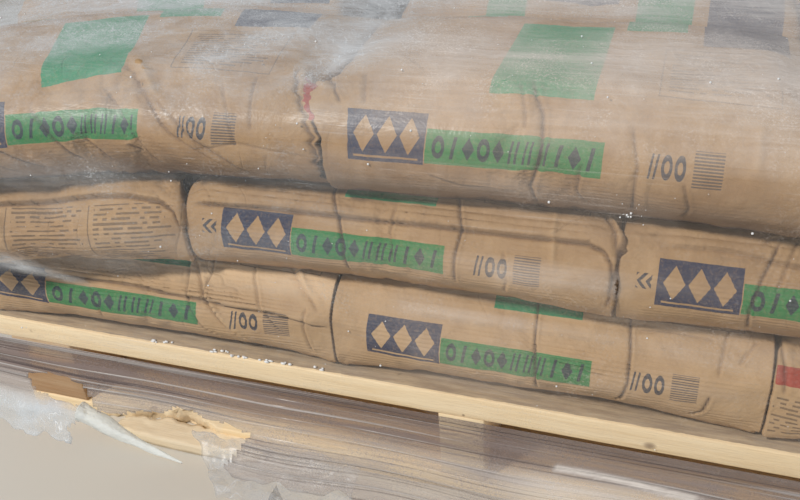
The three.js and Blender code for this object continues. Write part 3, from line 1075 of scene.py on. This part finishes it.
def woodFinish():
    wood = Finish("pine_timber", Roughness=0.68)
    place = wood.place()
    grain = wood.cloud(wood.stretch(place, (1.2, 24, 24)), 6, 5, 0.65, 0.6)
    fine = wood.cloud(wood.stretch(place, (4, 90, 90)), 9, 3, 0.6)
    colour = wood.colour(grain.ramp(0.35, 0.7), shade(255, 232, 192), shade(245, 216, 170))
    colour = wood.colour(fine.ramp(0.5, 0.8) * 0.35, colour, shade(200, 164, 118))
    x, y, z = wood.split(place)
    for across, high, wide, tall in timber["marks"]:
        away = ((x - across) / wide) ** 2 + ((z - high) / tall) ** 2
        mark = (1 - away).clamp() * (y < -0.45)
        colour = wood.colour(mark * 0.75, colour, shade(112, 78, 50))
    # Dust on the deck in front of the sacks, and painted shade on the wood below it
    dusty = (z > 0.1487) * (y > -0.4530 + wood.cloud(place, 60, 3) * 0.004)
    grime = 0.58 + 0.22 * wood.cloud(wood.stretch(place, (0.5, 4, 4)), 40, 4, 0.65).ramp(0.38, 0.62)
    colour = wood.colour(dusty * grime, colour, shade(124, 104, 88))
    colour = wood.colour(wood.value("raw") * 0.65, colour, shade(232, 218, 194))
    # painted shade below the deck
    paintedUnderShade = wood.value("paintedUnderShade") * (0.80 + 0.4 * grain)
    colour = wood.colour(paintedUnderShade, colour, shade(138, 86, 44))
    wood.feed(Base_Color=colour)
    wood.bump(grain * 0.6 + fine, 0.0015, 0.5)
    return wood.material


def addBoard(node, material, number):
    low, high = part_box(node)
    broken = node == "bottom_board_front"
    if node == "deck_board_1":
        low.x -= timber["pastEnd"]
    size = high - low
    widths = (timber["brokenCell" if broken else "cell"], timber["cell"], timber["cell"] / 2)
    bm = blockGrid([max(2, round(side / width)) for side, width in zip(size, widths)])
    bmesh.ops.scale(bm, vec=size / 2, verts=bm.verts)
    bmesh.ops.translate(bm, vec=(low + high) / 2, verts=bm.verts)
    edges = [e for e in bm.edges if e.calc_face_angle(0) > 1]
    bmesh.ops.bevel(bm, geom=edges, offset=timber["bevel"], segments=2, profile=0.5, affect="EDGES",
                    material=-1)
    mesh = meshFrom(bm, node + "_sawn")
    points = getPoints(mesh)
    inward = np.array((low + high) / 2) - points
    inward /= np.linalg.norm(inward, axis=1, keepdims=True)
    roughness = noiseAt(points, 9, number) + 0.5 * noiseAt(points, 40, number)
    if broken:
        depth = np.interp(points[:, 0], *timber["broken"])
        depth = depth * (1 + 0.5 * noiseAt(points, 130, 5)) + 0.004 * (depth > 0) * noiseAt(points, 260, 8)
        middle = (low.y + high.y) / 2
        points[:, 1] += depth * np.clip((middle - points[:, 1]) / (middle - low.y), 0, 1)
    setPoints(mesh, points + inward * (timber["wave"] * (0.8 + roughness))[:, None])
    x, y, z = getPoints(mesh).T
    # painted shade on the wood below the deck
    inner = rising(y, *timber["inner"]) * (z < timber["innerTop"])
    setValue(mesh, "paintedUnderShade", np.maximum(inner, timber["brown"].get(node, 0) * (z < timber["brownTop"])))
    first, last, depth = timber["raw"]
    setValue(mesh, "raw", 0.5 * broken * ((x > first) & (x < last) & (y < depth)))
    piece = addPiece(node.replace("board", "plank").replace("block", "timber_block"), mesh, material)
    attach(piece, "root")
    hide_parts(node)
    return piece


splinter = {
    "middle": (-0.352, -0.4660, 0.0085),
    "half": (0.104, 0.017, 0.0075),
    "cells": (60, 8, 3),
    "lowest": 0.0005,
}


def addSplinter(material):  # the piece that has broken off the front bottom board
    mesh = meshFrom(blockGrid(splinter["cells"]), "splinter")
    grid = getPoints(mesh)
    middle, half = splinter["middle"], splinter["half"]
    x = middle[0] + half[0] * grid[:, 0]
    taper = 0.35 + 0.65 * np.sqrt(np.maximum(0, 1 - grid[:, 0] ** 2))
    ragged = 0.006 * noiseAt(np.stack([x, x * 0, x * 0], axis=1), 70, 2) + 0.003 * noiseAt(grid, 9, 6)
    y = middle[1] + half[1] * taper * grid[:, 1] + ragged * (grid[:, 1] > 0)
    z = middle[2] + half[2] * grid[:, 2] * (0.7 + 0.3 * taper) + 0.0015 * noiseAt(grid, 5, 3)
    setPoints(mesh, np.stack([x, y, np.maximum(z, splinter["lowest"])], axis=1))
    setValue(mesh, "raw", 1)
    piece = addPiece("timber_splinter", mesh, material)
    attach(piece, "root")


def addTimber(material):
    addSplinter(material)
    names = [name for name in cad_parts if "board" in name or name.startswith("block")]
    boards = [addBoard(node, material, number) for number, node in enumerate(sorted(names))]
    print("timber sawn")
    return boards


# Film: one sheet over the load, and the part that hangs free in front of the pallet

film = {
    "cell": 0.012,
    "clearance": 0.0015,
    "shoulder": (0.052, 0.058, 0.052),
    "foot": (0.030, 0.030, 0.001),
    "thickness": 0.0005,
    "frontBulge": 0.102,
    "leftBulge": 0.118,
    # Heights, and how much of the bulge there is
    "bulgeLevels": ((0.150, 0.190, 0.241, 0.273), (0, 0.05, 0.6, 1)),
    "hem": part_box("film_hood")[0].z,
    "top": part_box("film_hood")[1].z,
    "sideX": 0.605,
    "sideY": 0.460,
    "reach": 0.06,  # how far from the sheet the load is looked for
    "slack": 0.014,  # how far the sheet may dip
    "rounds": 60,
    "creep": 0.0002,  # how far it is drawn in by each round
    # Where the film is cloudy: from one place to another, how wide, and how much. The second and the third
    # lay pale veils of painted light over the shadows at the seams.
    "strokes": (
        ((-0.500, -0.522, 0.294), (-0.430, -0.490, 0.257), 0.008, 0.40),
        ((-0.440, -0.517, 0.303), (-0.345, -0.492, 0.285), 0.012, 0.20),
        ((-0.475, -0.526, 0.406), (-0.360, -0.498, 0.394), 0.022, 0.16),
        ((-0.155, -0.375, 0.480), (-0.090, -0.300, 0.483), 0.026, 0.22),
        ((-0.150, -0.330, 0.480), (-0.150, -0.220, 0.484), 0.028, 0.16),
        ((-0.270, -0.370, 0.480), (-0.210, -0.300, 0.484), 0.036, 0.24),
        ((-0.650, -0.300, 0.480), (-0.350, -0.150, 0.484), 0.060, 0.14),
        ((-0.620, -0.400, 0.470), (-0.380, -0.330, 0.482), 0.050, 0.16),
        ((0.000, -0.350, 0.483), (0.550, -0.330, 0.483), 0.075, 0.26),
        ((0.068, -0.370, 0.481), (0.068, -0.250, 0.484), 0.050, -0.17),
        ((-0.420, -0.420, 0.470), (-0.360, -0.330, 0.482), 0.040, -0.08),
        ((0.040, -0.452, 0.317), (0.150, -0.452, 0.318), 0.010, 0.14),
        ((0.020, -0.330, 0.484), (0.110, -0.325, 0.484), 0.005, 0.30),
        ((-0.060, -0.456, 0.260), (0.295, -0.456, 0.249), 0.007, 0.30),
        ((-0.300, -0.452, 0.330), (0.130, -0.452, 0.330), 0.005, 0.06),
    ),
}


def filmFinish():
    clear = Finish("clear_film", Roughness=0.27, IOR=1.45)
    place = clear.place()
    haze = clear.value("haze")
    streaky = clear.value("streaky")
    streaks = clear.cloud(clear.stretch(place, (1.6, 24, 24), rotation=(0, 0, 0.04)), 5, 5, 0.65, 0.6)
    crinkle = clear.cloud(place, 17, 4, 0.68, 1.5)
    pattern = crinkle.ramp(0.40, 0.68)
    pattern = pattern + streaky * (streaks.ramp(0.38, 0.70) - pattern)
    grain = clear.cloud(place, 420, 2, 0.7)
    damp = clear.cloud(place, 13, 3, 0.6, 0.4)
    lines = clear.cloud(clear.stretch(place, (2.4, 190, 190), rotation=(0, 0, 0.04)), 3, 2, 0.6)
    patches = clear.cloud(place, 8, 2, 0.6)
    mask = haze * (0.62 + 0.70 * pattern + 0.4 * patches.ramp(0.35, 0.7))
    mask = mask + grain.ramp(0.55, 0.63) * damp.ramp(0.45, 0.66) * (0.05 + haze)
    # Short scratches that lie in three directions
    for number, turn in enumerate((0.7, 1.2, -0.3)):
        turned = clear.stretch(place, (1, 1, 1), rotation=(0, 0, turn))
        marks = clear.cloud(clear.stretch(turned, (52, 300, 120), location=(number * 3.1, 0, 0)), 1, 2, 0.6)
        mask = mask + marks.ramp(0.60, 0.72) * (haze - 0.12).clamp() * (1 - streaky) * 0.9
    mask = mask + lines.ramp(0.61, 0.70) * patches.ramp(0.38, 0.60) * (0.08 + 0.55 * haze)
    # Long creases along the hanging film: pale ones of painted highlight, and dark ones of painted shade
    # where it is dusty
    dustAndShade = clear.value("dustAndShade")
    long = streaky.ramp(0.7, 0.9)
    pale = clear.cloud(clear.stretch(place, (0.30, 0, 62)), 3, 3, 0.62).ramp(0.56, 0.63)
    deep = clear.cloud(clear.stretch(place, (0.26, 0, 75), location=(4, 0, 2)), 3, 3, 0.62).ramp(0.54, 0.62)
    mask = mask + long * (0.30 * pale + 0.34 * deep * dustAndShade)
    warm = clear.value("warm")
    tint = clear.colour(warm, shade(212, 218, 223), shade(234, 222, 212))
    # the film is darker where it is dusty and, as painted shade, where the space beyond it lies in shade
    tint = clear.colour(dustAndShade, tint, shade(132, 117, 112))
    tint = clear.colour(long * deep * dustAndShade * 0.8, tint, shade(74, 62, 64))
    tint = clear.colour(long * pale * 0.6, tint, shade(214, 210, 208))
    # Painted glints: white lines where the film is crumpled
    edges = 1 - abs(clear.cloud(place, 34, 2, 0.5, 0.6) - 0.5).ramp(0.0, 0.014)
    glint = edges * clear.cloud(place, 22, 2).ramp(0.46, 0.60) * clear.value("crinkled")
    mask = mask + glint * 0.8
    tint = clear.colour(glint, tint, shade(246, 248, 250))
    clear.feed(Base_Color=tint, Alpha=mask.clamp())
    clear.bump(streaks * 0.4 + crinkle * 0.8 + long * (pale - deep) * 0.5, 0.0025, 0.6)
    return clear.material


def pushedOut(points, level):  # the slid sacks push the film out at the front's left end and at the left
    x, y, z = points.T
    firstJoint = sack["length"] - palletLength / 2
    alongFront = np.clip((firstJoint - x) / sack["length"], 0, 1)
    nearFront = smoothStep((-y - sack["width"] / 2) / 0.25)
    pastCorner = smoothStep((y + 0.56) / 0.33)
    beforeRear = smoothStep((0.25 - y) / 0.15)
    nearLeft = smoothStep((-x - 0.33) / 0.2)
    front = film["frontBulge"] * alongFront ** 1.4 * nearFront
    left = film["leftBulge"] * pastCorner * beforeRear * nearLeft
    return np.stack([x - level * left, y - level * front, z], axis=1)


def hoodMesh():
    size = (2 * film["sideX"], 2 * film["sideY"], film["top"] - film["hem"])
    bm = blockGrid([round(side / film["cell"]) for side in size])
    bottom = [f for f in bm.faces if all(v.co.z < -0.999 for v in f.verts)]
    bmesh.ops.delete(bm, geom=bottom, context="FACES")
    mesh = meshFrom(bm, "film_hood_sheet")
    block = Block(getPoints(mesh), size, film["shoulder"], film["foot"])
    points = block.points + (0, 0, (film["hem"] + film["top"]) / 2)
    setPoints(mesh, pushedOut(points, np.interp(points[:, 2], *film["bulgeLevels"])))
    return mesh


def treeOf(pieces):
    points, faces, before = [], [], 0
    for piece in pieces:
        corners, starts = getCorners(piece.data)
        stops = np.append(starts[1:], len(corners))
        faces += [(corners[a:b] + before).tolist() for a, b in zip(starts, stops)]
        points.append(getPoints(piece.data))
        before += len(points[-1])
    return BVHTree.FromPolygons(np.concatenate(points).tolist(), faces)


def neighbourMean(mesh, values):
    edges = np.empty(len(mesh.edges) * 2, dtype=np.int64)
    mesh.edges.foreach_get("vertices", edges)
    a, b = edges.reshape(-1, 2).T
    count = len(values)
    total = np.bincount(a, values[b], count) + np.bincount(b, values[a], count)
    neighbours = np.bincount(a, minlength=count) + np.bincount(b, minlength=count)
    return total / np.maximum(neighbours, 1)


def wrinkled(points, *waves):  # long wrinkles along X: how high, how short, how fine, and a seed
    return sum(high * noiseAt(points * (short, 1, 1), fine, seed) for high, short, fine, seed in waves)


def creased(points, *ridges):  # sharp ridges: how high, how sharp, how fine, and a seed
    return sum(high * (sharp - np.abs(noiseAt(points, fine, seed))) for high, sharp, fine, seed in ridges)


# Draws the film in until it rests on the load, and lets it span what lies between
def shrinkOnto(mesh, tree):
    points, normals = getPoints(mesh), getNormals(mesh)
    reach = film["reach"]
    least = np.full(len(points), -film["slack"])
    for i, (point, normal) in enumerate(zip(points, normals)):
        start = Vector(point + normal * reach)
        _, _, _, distance = tree.ray_cast(start, Vector(-normal), 2 * reach)
        if distance is not None:
            least[i] = max(least[i], reach - distance + film["clearance"])
    offset = np.maximum(least, 0)
    for _ in range(film["rounds"]):
        offset = np.maximum(least, neighbourMean(mesh, offset) - film["creep"])
    wrinkle = wrinkled(points, (0.0012, 0.25, 42, 3), (0.0006, 0.12, 150, 5))
    lifted = np.maximum(offset + wrinkle, least)
    setPoints(mesh, points + normals * lifted[:, None])


def addHood(material, load):
    mesh = hoodMesh()
    shrinkOnto(mesh, treeOf(load))
    points, normals = getPoints(mesh), getNormals(mesh)
    top = smoothStep((normals[:, 2] - 0.15) / 0.7)
    far = smoothStep((points[:, 1] + 0.42) / 0.5)
    right = smoothStep((points[:, 0] + 0.16) / 0.12)
    cloudy = 0.5 + 0.5 * noiseAt(points, 5, 11)
    bands = noiseAt(points * (0.12, 1, 1), 34, 27)
    haze = 0.028 + top * (0.10 + 0.40 * far) + 0.02 * cloudy + 0.045 * (1 - top) * smoothStep(bands * 2.5)
    for first, last, width, strength in film["strokes"]:
        along = np.array(last) - first
        share = np.clip((points - first) @ along / (along @ along), 0, 1)
        away = np.linalg.norm(points - first - share[:, None] * along, axis=1)
        haze += strength * bell(away, width)
    setValue(mesh, "haze", np.maximum(haze, 0.02))
    setValue(mesh, "streaky", 0.5 * (1 - top) + 0.62 * top * right)
    setValue(mesh, "warm", np.maximum(0.20, right * (1 - 0.55 * far)))
    piece = addPiece("film_sheet_hood", mesh, material)
    thicken(piece)
    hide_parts("film_hood")
    return piece


def thicken(piece):
    wall = piece.modifiers.new("film thickness", "SOLIDIFY")
    wall.thickness = film["thickness"]
    wall.offset = 1
    piece.visible_shadow = False
    piece.visible_diffuse = False
    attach(piece, "root")


skirt = {
    "cell": 0.0060,
    "cellUp": 0.0030,
    "left": -palletLength / 2 - 0.060,
    "right": palletLength / 2 + 0.002,
    "top": 0.1245,
    "low": 0.004,
    "lowest": 0.0010,
    "gap": 0.0025,  # how far it hangs in front of the hood's side
    "flare": 0.040,
    "wave": 0.005,
    "waveLength": 0.047,
    "ragged": ((0.004, 79), (0.003, 170)),  # waves of its lower edge: how high, and how fine
    "sway": ((0.0025, 9), (0.0012, 31)),  # and of its long creases
    # Creases with painted highlight where they catch the light, and clearer ones that let it through: from
    # x, z to x, z, how wide, and how much
    "strokes": (
        (-0.66, 0.104, 0.60, 0.100, 0.0020, 0.22),
        (-0.66, 0.092, 0.60, 0.086, 0.0024, 0.18),
        (-0.20, 0.074, 0.60, 0.064, 0.0030, 0.20),
        (-0.66, 0.113, 0.60, 0.112, 0.0030, -0.14),
        (0.108, 0.090, 0.250, 0.086, 0.0030, 0.95),
        (-0.58, 0.030, -0.53, 0.050, 0.0120, 0.45),
    ),
    # The torn opening, as places along the front and heights
    "hole": ((-0.570, 0.080), (-0.552, 0.083), (-0.525, 0.085), (-0.504, 0.082), (-0.492, 0.078),
             (-0.484, 0.066), (-0.475, 0.054), (-0.464, 0.045), (-0.437, 0.044), (-0.412, 0.052),
             (-0.379, 0.057), (-0.348, 0.069), (-0.327, 0.070), (-0.320, 0.062), (-0.304, 0.064),
             (-0.290, 0.064), (-0.273, 0.061), (-0.258, 0.056), (-0.269, 0.039), (-0.288, 0.016),
             (-0.314, -0.01), (-0.500, -0.01), (-0.505, 0.020), (-0.480, 0.040), (-0.487, 0.053),
             (-0.521, 0.055), (-0.542, 0.059), (-0.560, 0.069)),
}


def insideOutline(x, z, outline):  # whether each point lies in a closed outline
    within = np.zeros(len(x), dtype=bool)
    for (x0, z0), (x1, z1) in zip(outline, outline[1:] + outline[:1]):
        crosses = (z0 > z) != (z1 > z)
        at = x0 + (z - z0) * (x1 - x0) / (z1 - z0 if z1 != z0 else 1)
        within ^= crosses & (x < at)
    return within


def skirtSheet():  # the mesh of the hanging film, its points' places, and how loose it hangs there
    left, right, low = skirt["left"], skirt["right"], skirt["low"]
    length, tall = right - left, skirt["top"] - low
    columns, rows = round(length / skirt["cell"]), round(tall / skirt["cellUp"])
    bm = bmesh.new()
    bmesh.ops.create_grid(bm, x_segments=columns, y_segments=rows, size=1)
    bmesh.ops.scale(bm, vec=(length / 2, tall / 2, 1), verts=bm.verts)
    mesh = meshFrom(bm, "film_skirt_sheet")
    flat = getPoints(mesh)
    x = flat[:, 0] + (left + right) / 2
    z = flat[:, 1] + (skirt["top"] + low) / 2
    ragged = sum(high * np.sin(x * fine) for high, fine in skirt["ragged"])
    z = np.maximum(z + ragged * (1 - (z - low) / tall), skirt["lowest"])
    fall = np.clip((film["hem"] - z) / film["hem"], 0, 1)
    wave = skirt["wave"] * np.sin(x / skirt["waveLength"])
    y = -film["sideY"] - skirt["gap"] - fall * (skirt["flare"] + wave)
    points = np.stack([x, y, z], axis=1)
    wrinkle = wrinkled(points, (0.0034, 0.09, 48, 9), (0.0013, 0.07, 120, 4))
    points[:, 1] += wrinkle * smoothStep(fall * 8)
    # The film is crumpled where it has torn loose
    loose = smoothStep((-0.47 - x) / 0.03) * smoothStep((0.064 - z) / 0.026)
    points[:, 1] -= loose * creased(points, (0.007, 0.5, 38, 14), (0.004, 0.5, 85, 17))
    setPoints(mesh, points)
    return mesh, points, loose


def skirtLooks(mesh, points, loose):
    x, _, z = points.T
    band = smoothStep((z - 0.070) / 0.02)
    right = smoothStep((x - 0.02) / 0.10)
    haze = 0.36 + 0.08 * band + 0.14 * noiseAt(points * (0.08, 1, 1), 60, 21)
    haze = haze + 0.30 * smoothStep((-0.560 - x) / 0.012) * (1 - loose)
    sway = sum(high * np.sin(x * fine) for high, fine in skirt["sway"])
    shine = np.zeros(len(x))
    for x0, z0, x1, z1, width, strength in skirt["strokes"]:
        share = np.clip((x - x0) / (x1 - x0), 0, 1)
        near = bell(np.hypot(x - x0 - share * (x1 - x0), z + sway - z0 - share * (z1 - z0)), width)
        haze = haze + strength * near
        # the strongest strokes are painted highlight, and are kept clear of the darker tint
        shine = np.maximum(shine, near * (strength > 0.6))
    # dirt on the film, and painted shade of the dark space beyond it near the deck
    dustAndShade = 0.62 - 0.50 * right + (0.38 + 0.40 * right) * band - 0.58 * loose - shine
    setValue(mesh, "haze", np.maximum(haze, 0.05))
    setValue(mesh, "dustAndShade", np.clip(dustAndShade, 0, 1))
    setValue(mesh, "warm", 0.8 - 0.8 * loose)
    setValue(mesh, "streaky", 1 - 0.8 * loose)
    setValue(mesh, "crinkled", loose)


def tearOut(mesh, points):
    x, _, z = points.T
    jag = 0.003 * noiseAt(points, 160, 31)
    torn = insideOutline(x + jag, z + jag, skirt["hole"])
    bm = bmesh.new()
    bm.from_mesh(mesh)
    bmesh.ops.delete(bm, geom=[v for v, gone in zip(bm.verts, torn) if gone], context="VERTS")
    bm.to_mesh(mesh)
    bm.free()
    mesh.shade_smooth()


def addSkirt(material):
    mesh, points, loose = skirtSheet()
    skirtLooks(mesh, points, loose)
    tearOut(mesh, points)
    piece = addPiece("film_sheet_skirt", mesh, material)
    thicken(piece)
    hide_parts("film_skirt")


rolled = {
    "path": ((-0.492, -0.488, 0.042), (-0.470, -0.490, 0.035), (-0.432, -0.494, 0.023),
             (-0.390, -0.498, 0.012), (-0.345, -0.503, 0.005)),
    "radii": (0.0125, 0.0120, 0.0080, 0.0045, 0.0012),
    "around": 20,
    "steps": 60,
}


def rollRidges(angle, x):  # how much the roll stands out, round it and along it
    lengthwise = 1 + 0.09 * math.sin(3 * angle + x * 40) + 0.05 * math.sin(5 * angle - x * 150)
    return lengthwise + 0.10 * math.sin(x * 95)


def addRoll():  # the torn edge, rolled up into a white cord of film
    path, count = np.array(rolled["path"]), len(rolled["path"])
    t = np.linspace(0, count - 1, rolled["steps"])
    centre = np.stack([np.interp(t, range(count), path[:, axis]) for axis in range(3)], axis=1)
    radii = np.interp(t, range(count), rolled["radii"])
    angles = [2 * math.pi * step / rolled["around"] for step in range(rolled["around"])]
    bm = bmesh.new()
    rings = []
    for place, radius in zip(centre, radii):
        ring = []
        for angle in angles:
            reach = radius * rollRidges(angle, place[0])
            ring.append(bm.verts.new(Vector(place) + Vector((0, math.cos(angle), math.sin(angle))) * reach))
        rings.append(ring)
    for first, second in zip(rings, rings[1:]):
        for step in range(rolled["around"]):
            after = (step + 1) % rolled["around"]
            bm.faces.new((first[step], first[after], second[after], second[step]))
    bm.faces.new(rings[0][::-1])
    bm.faces.new(rings[-1])
    bmesh.ops.recalc_face_normals(bm, faces=bm.faces)
    white = Finish("film_rolled", Roughness=0.42, IOR=1.4, Base_Color=shade(232, 237, 236), Alpha=0.66)
    white.bump(white.cloud(white.stretch(white.place(), (1, 3, 3)), 40, 4, 0.6), 0.006, 0.7)
    piece = addPiece("film_roll", meshFrom(bm, "film_roll"), white.material)
    piece.visible_shadow = False
    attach(piece, "root")


lap = {
    "middle": (-0.215, -0.503),
    "half": (0.095, 0.038),
    "slant": 0.035,  # how far its left edge leans
    "ragged": 0.006,
    "least": 0.002,
    "back": (-0.500, 0.035, 0.018),  # where it rises towards the pallet, over what depth, and how high
}


def addLap(material):  # film that lies on the floor in front of the opening
    bm = bmesh.new()
    bmesh.ops.create_grid(bm, x_segments=56, y_segments=34, size=1)
    mesh = meshFrom(bm, "film_lap_sheet")
    across, deep, _ = getPoints(mesh).T
    x = lap["middle"][0] + lap["half"][0] * across - lap["slant"] * deep * (across < 0)
    y = lap["middle"][1] + lap["half"][1] * deep
    points = np.stack([x, y, x * 0], axis=1)
    edge = lap["ragged"] * noiseAt(points, 45, 4)
    points[:, 0] += edge * np.abs(across) ** 3
    points[:, 1] += edge * np.abs(deep) ** 3
    rise = creased(points, (0.009, 0.62, 26, 12), (0.004, 0.5, 70, 19))
    points[:, 2] = lap["least"] + np.maximum(0, rise) + rising(points[:, 1], *lap["back"])
    setPoints(mesh, points)
    setValue(mesh, "haze", 0.22 + 0.15 * noiseAt(points, 30, 23))
    setValue(mesh, "crinkled", 0.7)
    setValue(mesh, "dustAndShade", 0.30)
    thicken(addPiece("film_lap", mesh, material))


drops = {
    # Where they lie close together: the middle, how far around it, and how many
    "groups": ((Vector((0.158, -0.455, 0.395)), 0.016, 14), (Vector((-0.20, -0.45, 0.36)), 0.10, 20)),
    "others": 170,
    "least": 0.0004,
    "more": 0.0011,
    "sunk": 0.0006,
}
crumbs = {
    "places": ((-0.379, -0.451), (-0.361, -0.448), (-0.298, -0.450), (-0.286, -0.449), (-0.270, -0.452),
               (-0.255, -0.450), (-0.235, -0.452), (-0.226, -0.451), (-0.206, -0.449), (-0.166, -0.449)),
    "each": 3,
    "sizes": ((0.0012, 0.0040), (0.001, 0.002), (0.001, 0.002)),
}


def addBead(bm, place, size):
    matrix = Matrix.Translation(place) @ Matrix.Diagonal((*size, 1))
    bmesh.ops.create_icosphere(bm, subdivisions=1, radius=1, matrix=matrix)


def addSpecks(material, hood):  # drops of water on the film, painted white as their glints, joined into one piece
    eye = Vector(camera["place"])
    faces = []
    for face in hood.data.polygons:
        towards = (eye - face.center).normalized()
        if face.normal.dot(towards) > 0.2 and face.center.y < -0.1:
            faces.append(face)
    near = []
    for centre, spread, count in drops["groups"]:
        close = [face for face in faces if (face.center - centre).length < spread]
        near += [random.choice(close) for _ in range(count)] if close else []
    bm = bmesh.new()
    for face in near + random.choices(faces, k=drops["others"]):
        corners = [hood.data.vertices[index].co for index in face.vertices]
        across, up = random.random(), random.random()
        place = corners[0].lerp(corners[1], across).lerp(corners[3].lerp(corners[2], across), up)
        radius = drops["least"] + drops["more"] * random.random() ** 3
        addBead(bm, place + face.normal * drops["sunk"], (radius, radius, radius))
    piece = addPiece("film_drops", meshFrom(bm, "film_drops"), material)
    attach(piece, "root")


def addCrumbs(material):  # pale crumbs at the foot of the front sacks
    bm = bmesh.new()
    for x, y in crumbs["places"]:
        for _ in range(crumbs["each"]):
            place = Vector((x + random.uniform(-0.006, 0.006), y + random.uniform(-0.003, 0.001), deckTop))
            size = [random.uniform(least, most) for least, most in crumbs["sizes"]]
            addBead(bm, place + Vector((0, 0, size[2] * 0.8)), size)
    piece = addPiece("film_crumbs", meshFrom(bm, "film_crumbs"), material)
    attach(piece, "root")


# Light and floor

light = {
    "key": 104,
    "keySize": 0.36,
    "keyColour": (1.0, 0.96, 0.90),
    "keyPlace": (-1.6, -2.6, 3.1),
    "keyAim": (-0.05, -0.3, 0.3),
    "sky": (0.86, 0.92, 1.0, 1),
    "air": 0.40,
    "floorReach": 6,
}


def addStage():
    bm = bmesh.new()
    bmesh.ops.create_grid(bm, x_segments=1, y_segments=1, size=light["floorReach"])
    floor = Finish("floor", Roughness=0.9, Base_Color=shade(208, 203, 194))
    piece = addPiece("floor", meshFrom(bm, "floor"), floor.material)
    data = bpy.data.lights.new("key", "AREA")
    data.energy = light["key"]
    data.size = light["keySize"]
    data.color = light["keyColour"]
    lamp = bpy.data.objects.new("key", data)
    lamp.location = light["keyPlace"]
    lamp.rotation_euler = (Vector(light["keyAim"]) - lamp.location).to_track_quat("-Z", "Y").to_euler()
    bpy.context.scene.collection.objects.link(lamp)
    world = bpy.data.worlds.new("studio")
    world.use_nodes = True
    world.node_tree.nodes["Background"].inputs[0].default_value = light["sky"]
    world.node_tree.nodes["Background"].inputs[1].default_value = light["air"]
    bpy.context.scene.world = world
    bpy.context.scene.view_settings.view_transform = "Standard"


sacks = addSacks(paperFinish())
boards = addTimber(woodFinish())
clearFilm = filmFinish()
hood = addHood(clearFilm, sacks + boards)
addSkirt(clearFilm)
addRoll()
addLap(clearFilm)
# the white of the drops is painted highlight, the glint of light on clear water; the crumbs are pale
dropFinish = Finish("water_drops", Roughness=0.25, Base_Color=shade(240, 242, 244)).material
addSpecks(dropFinish, hood)
addCrumbs(dropFinish)
print("film laid")
addStage()
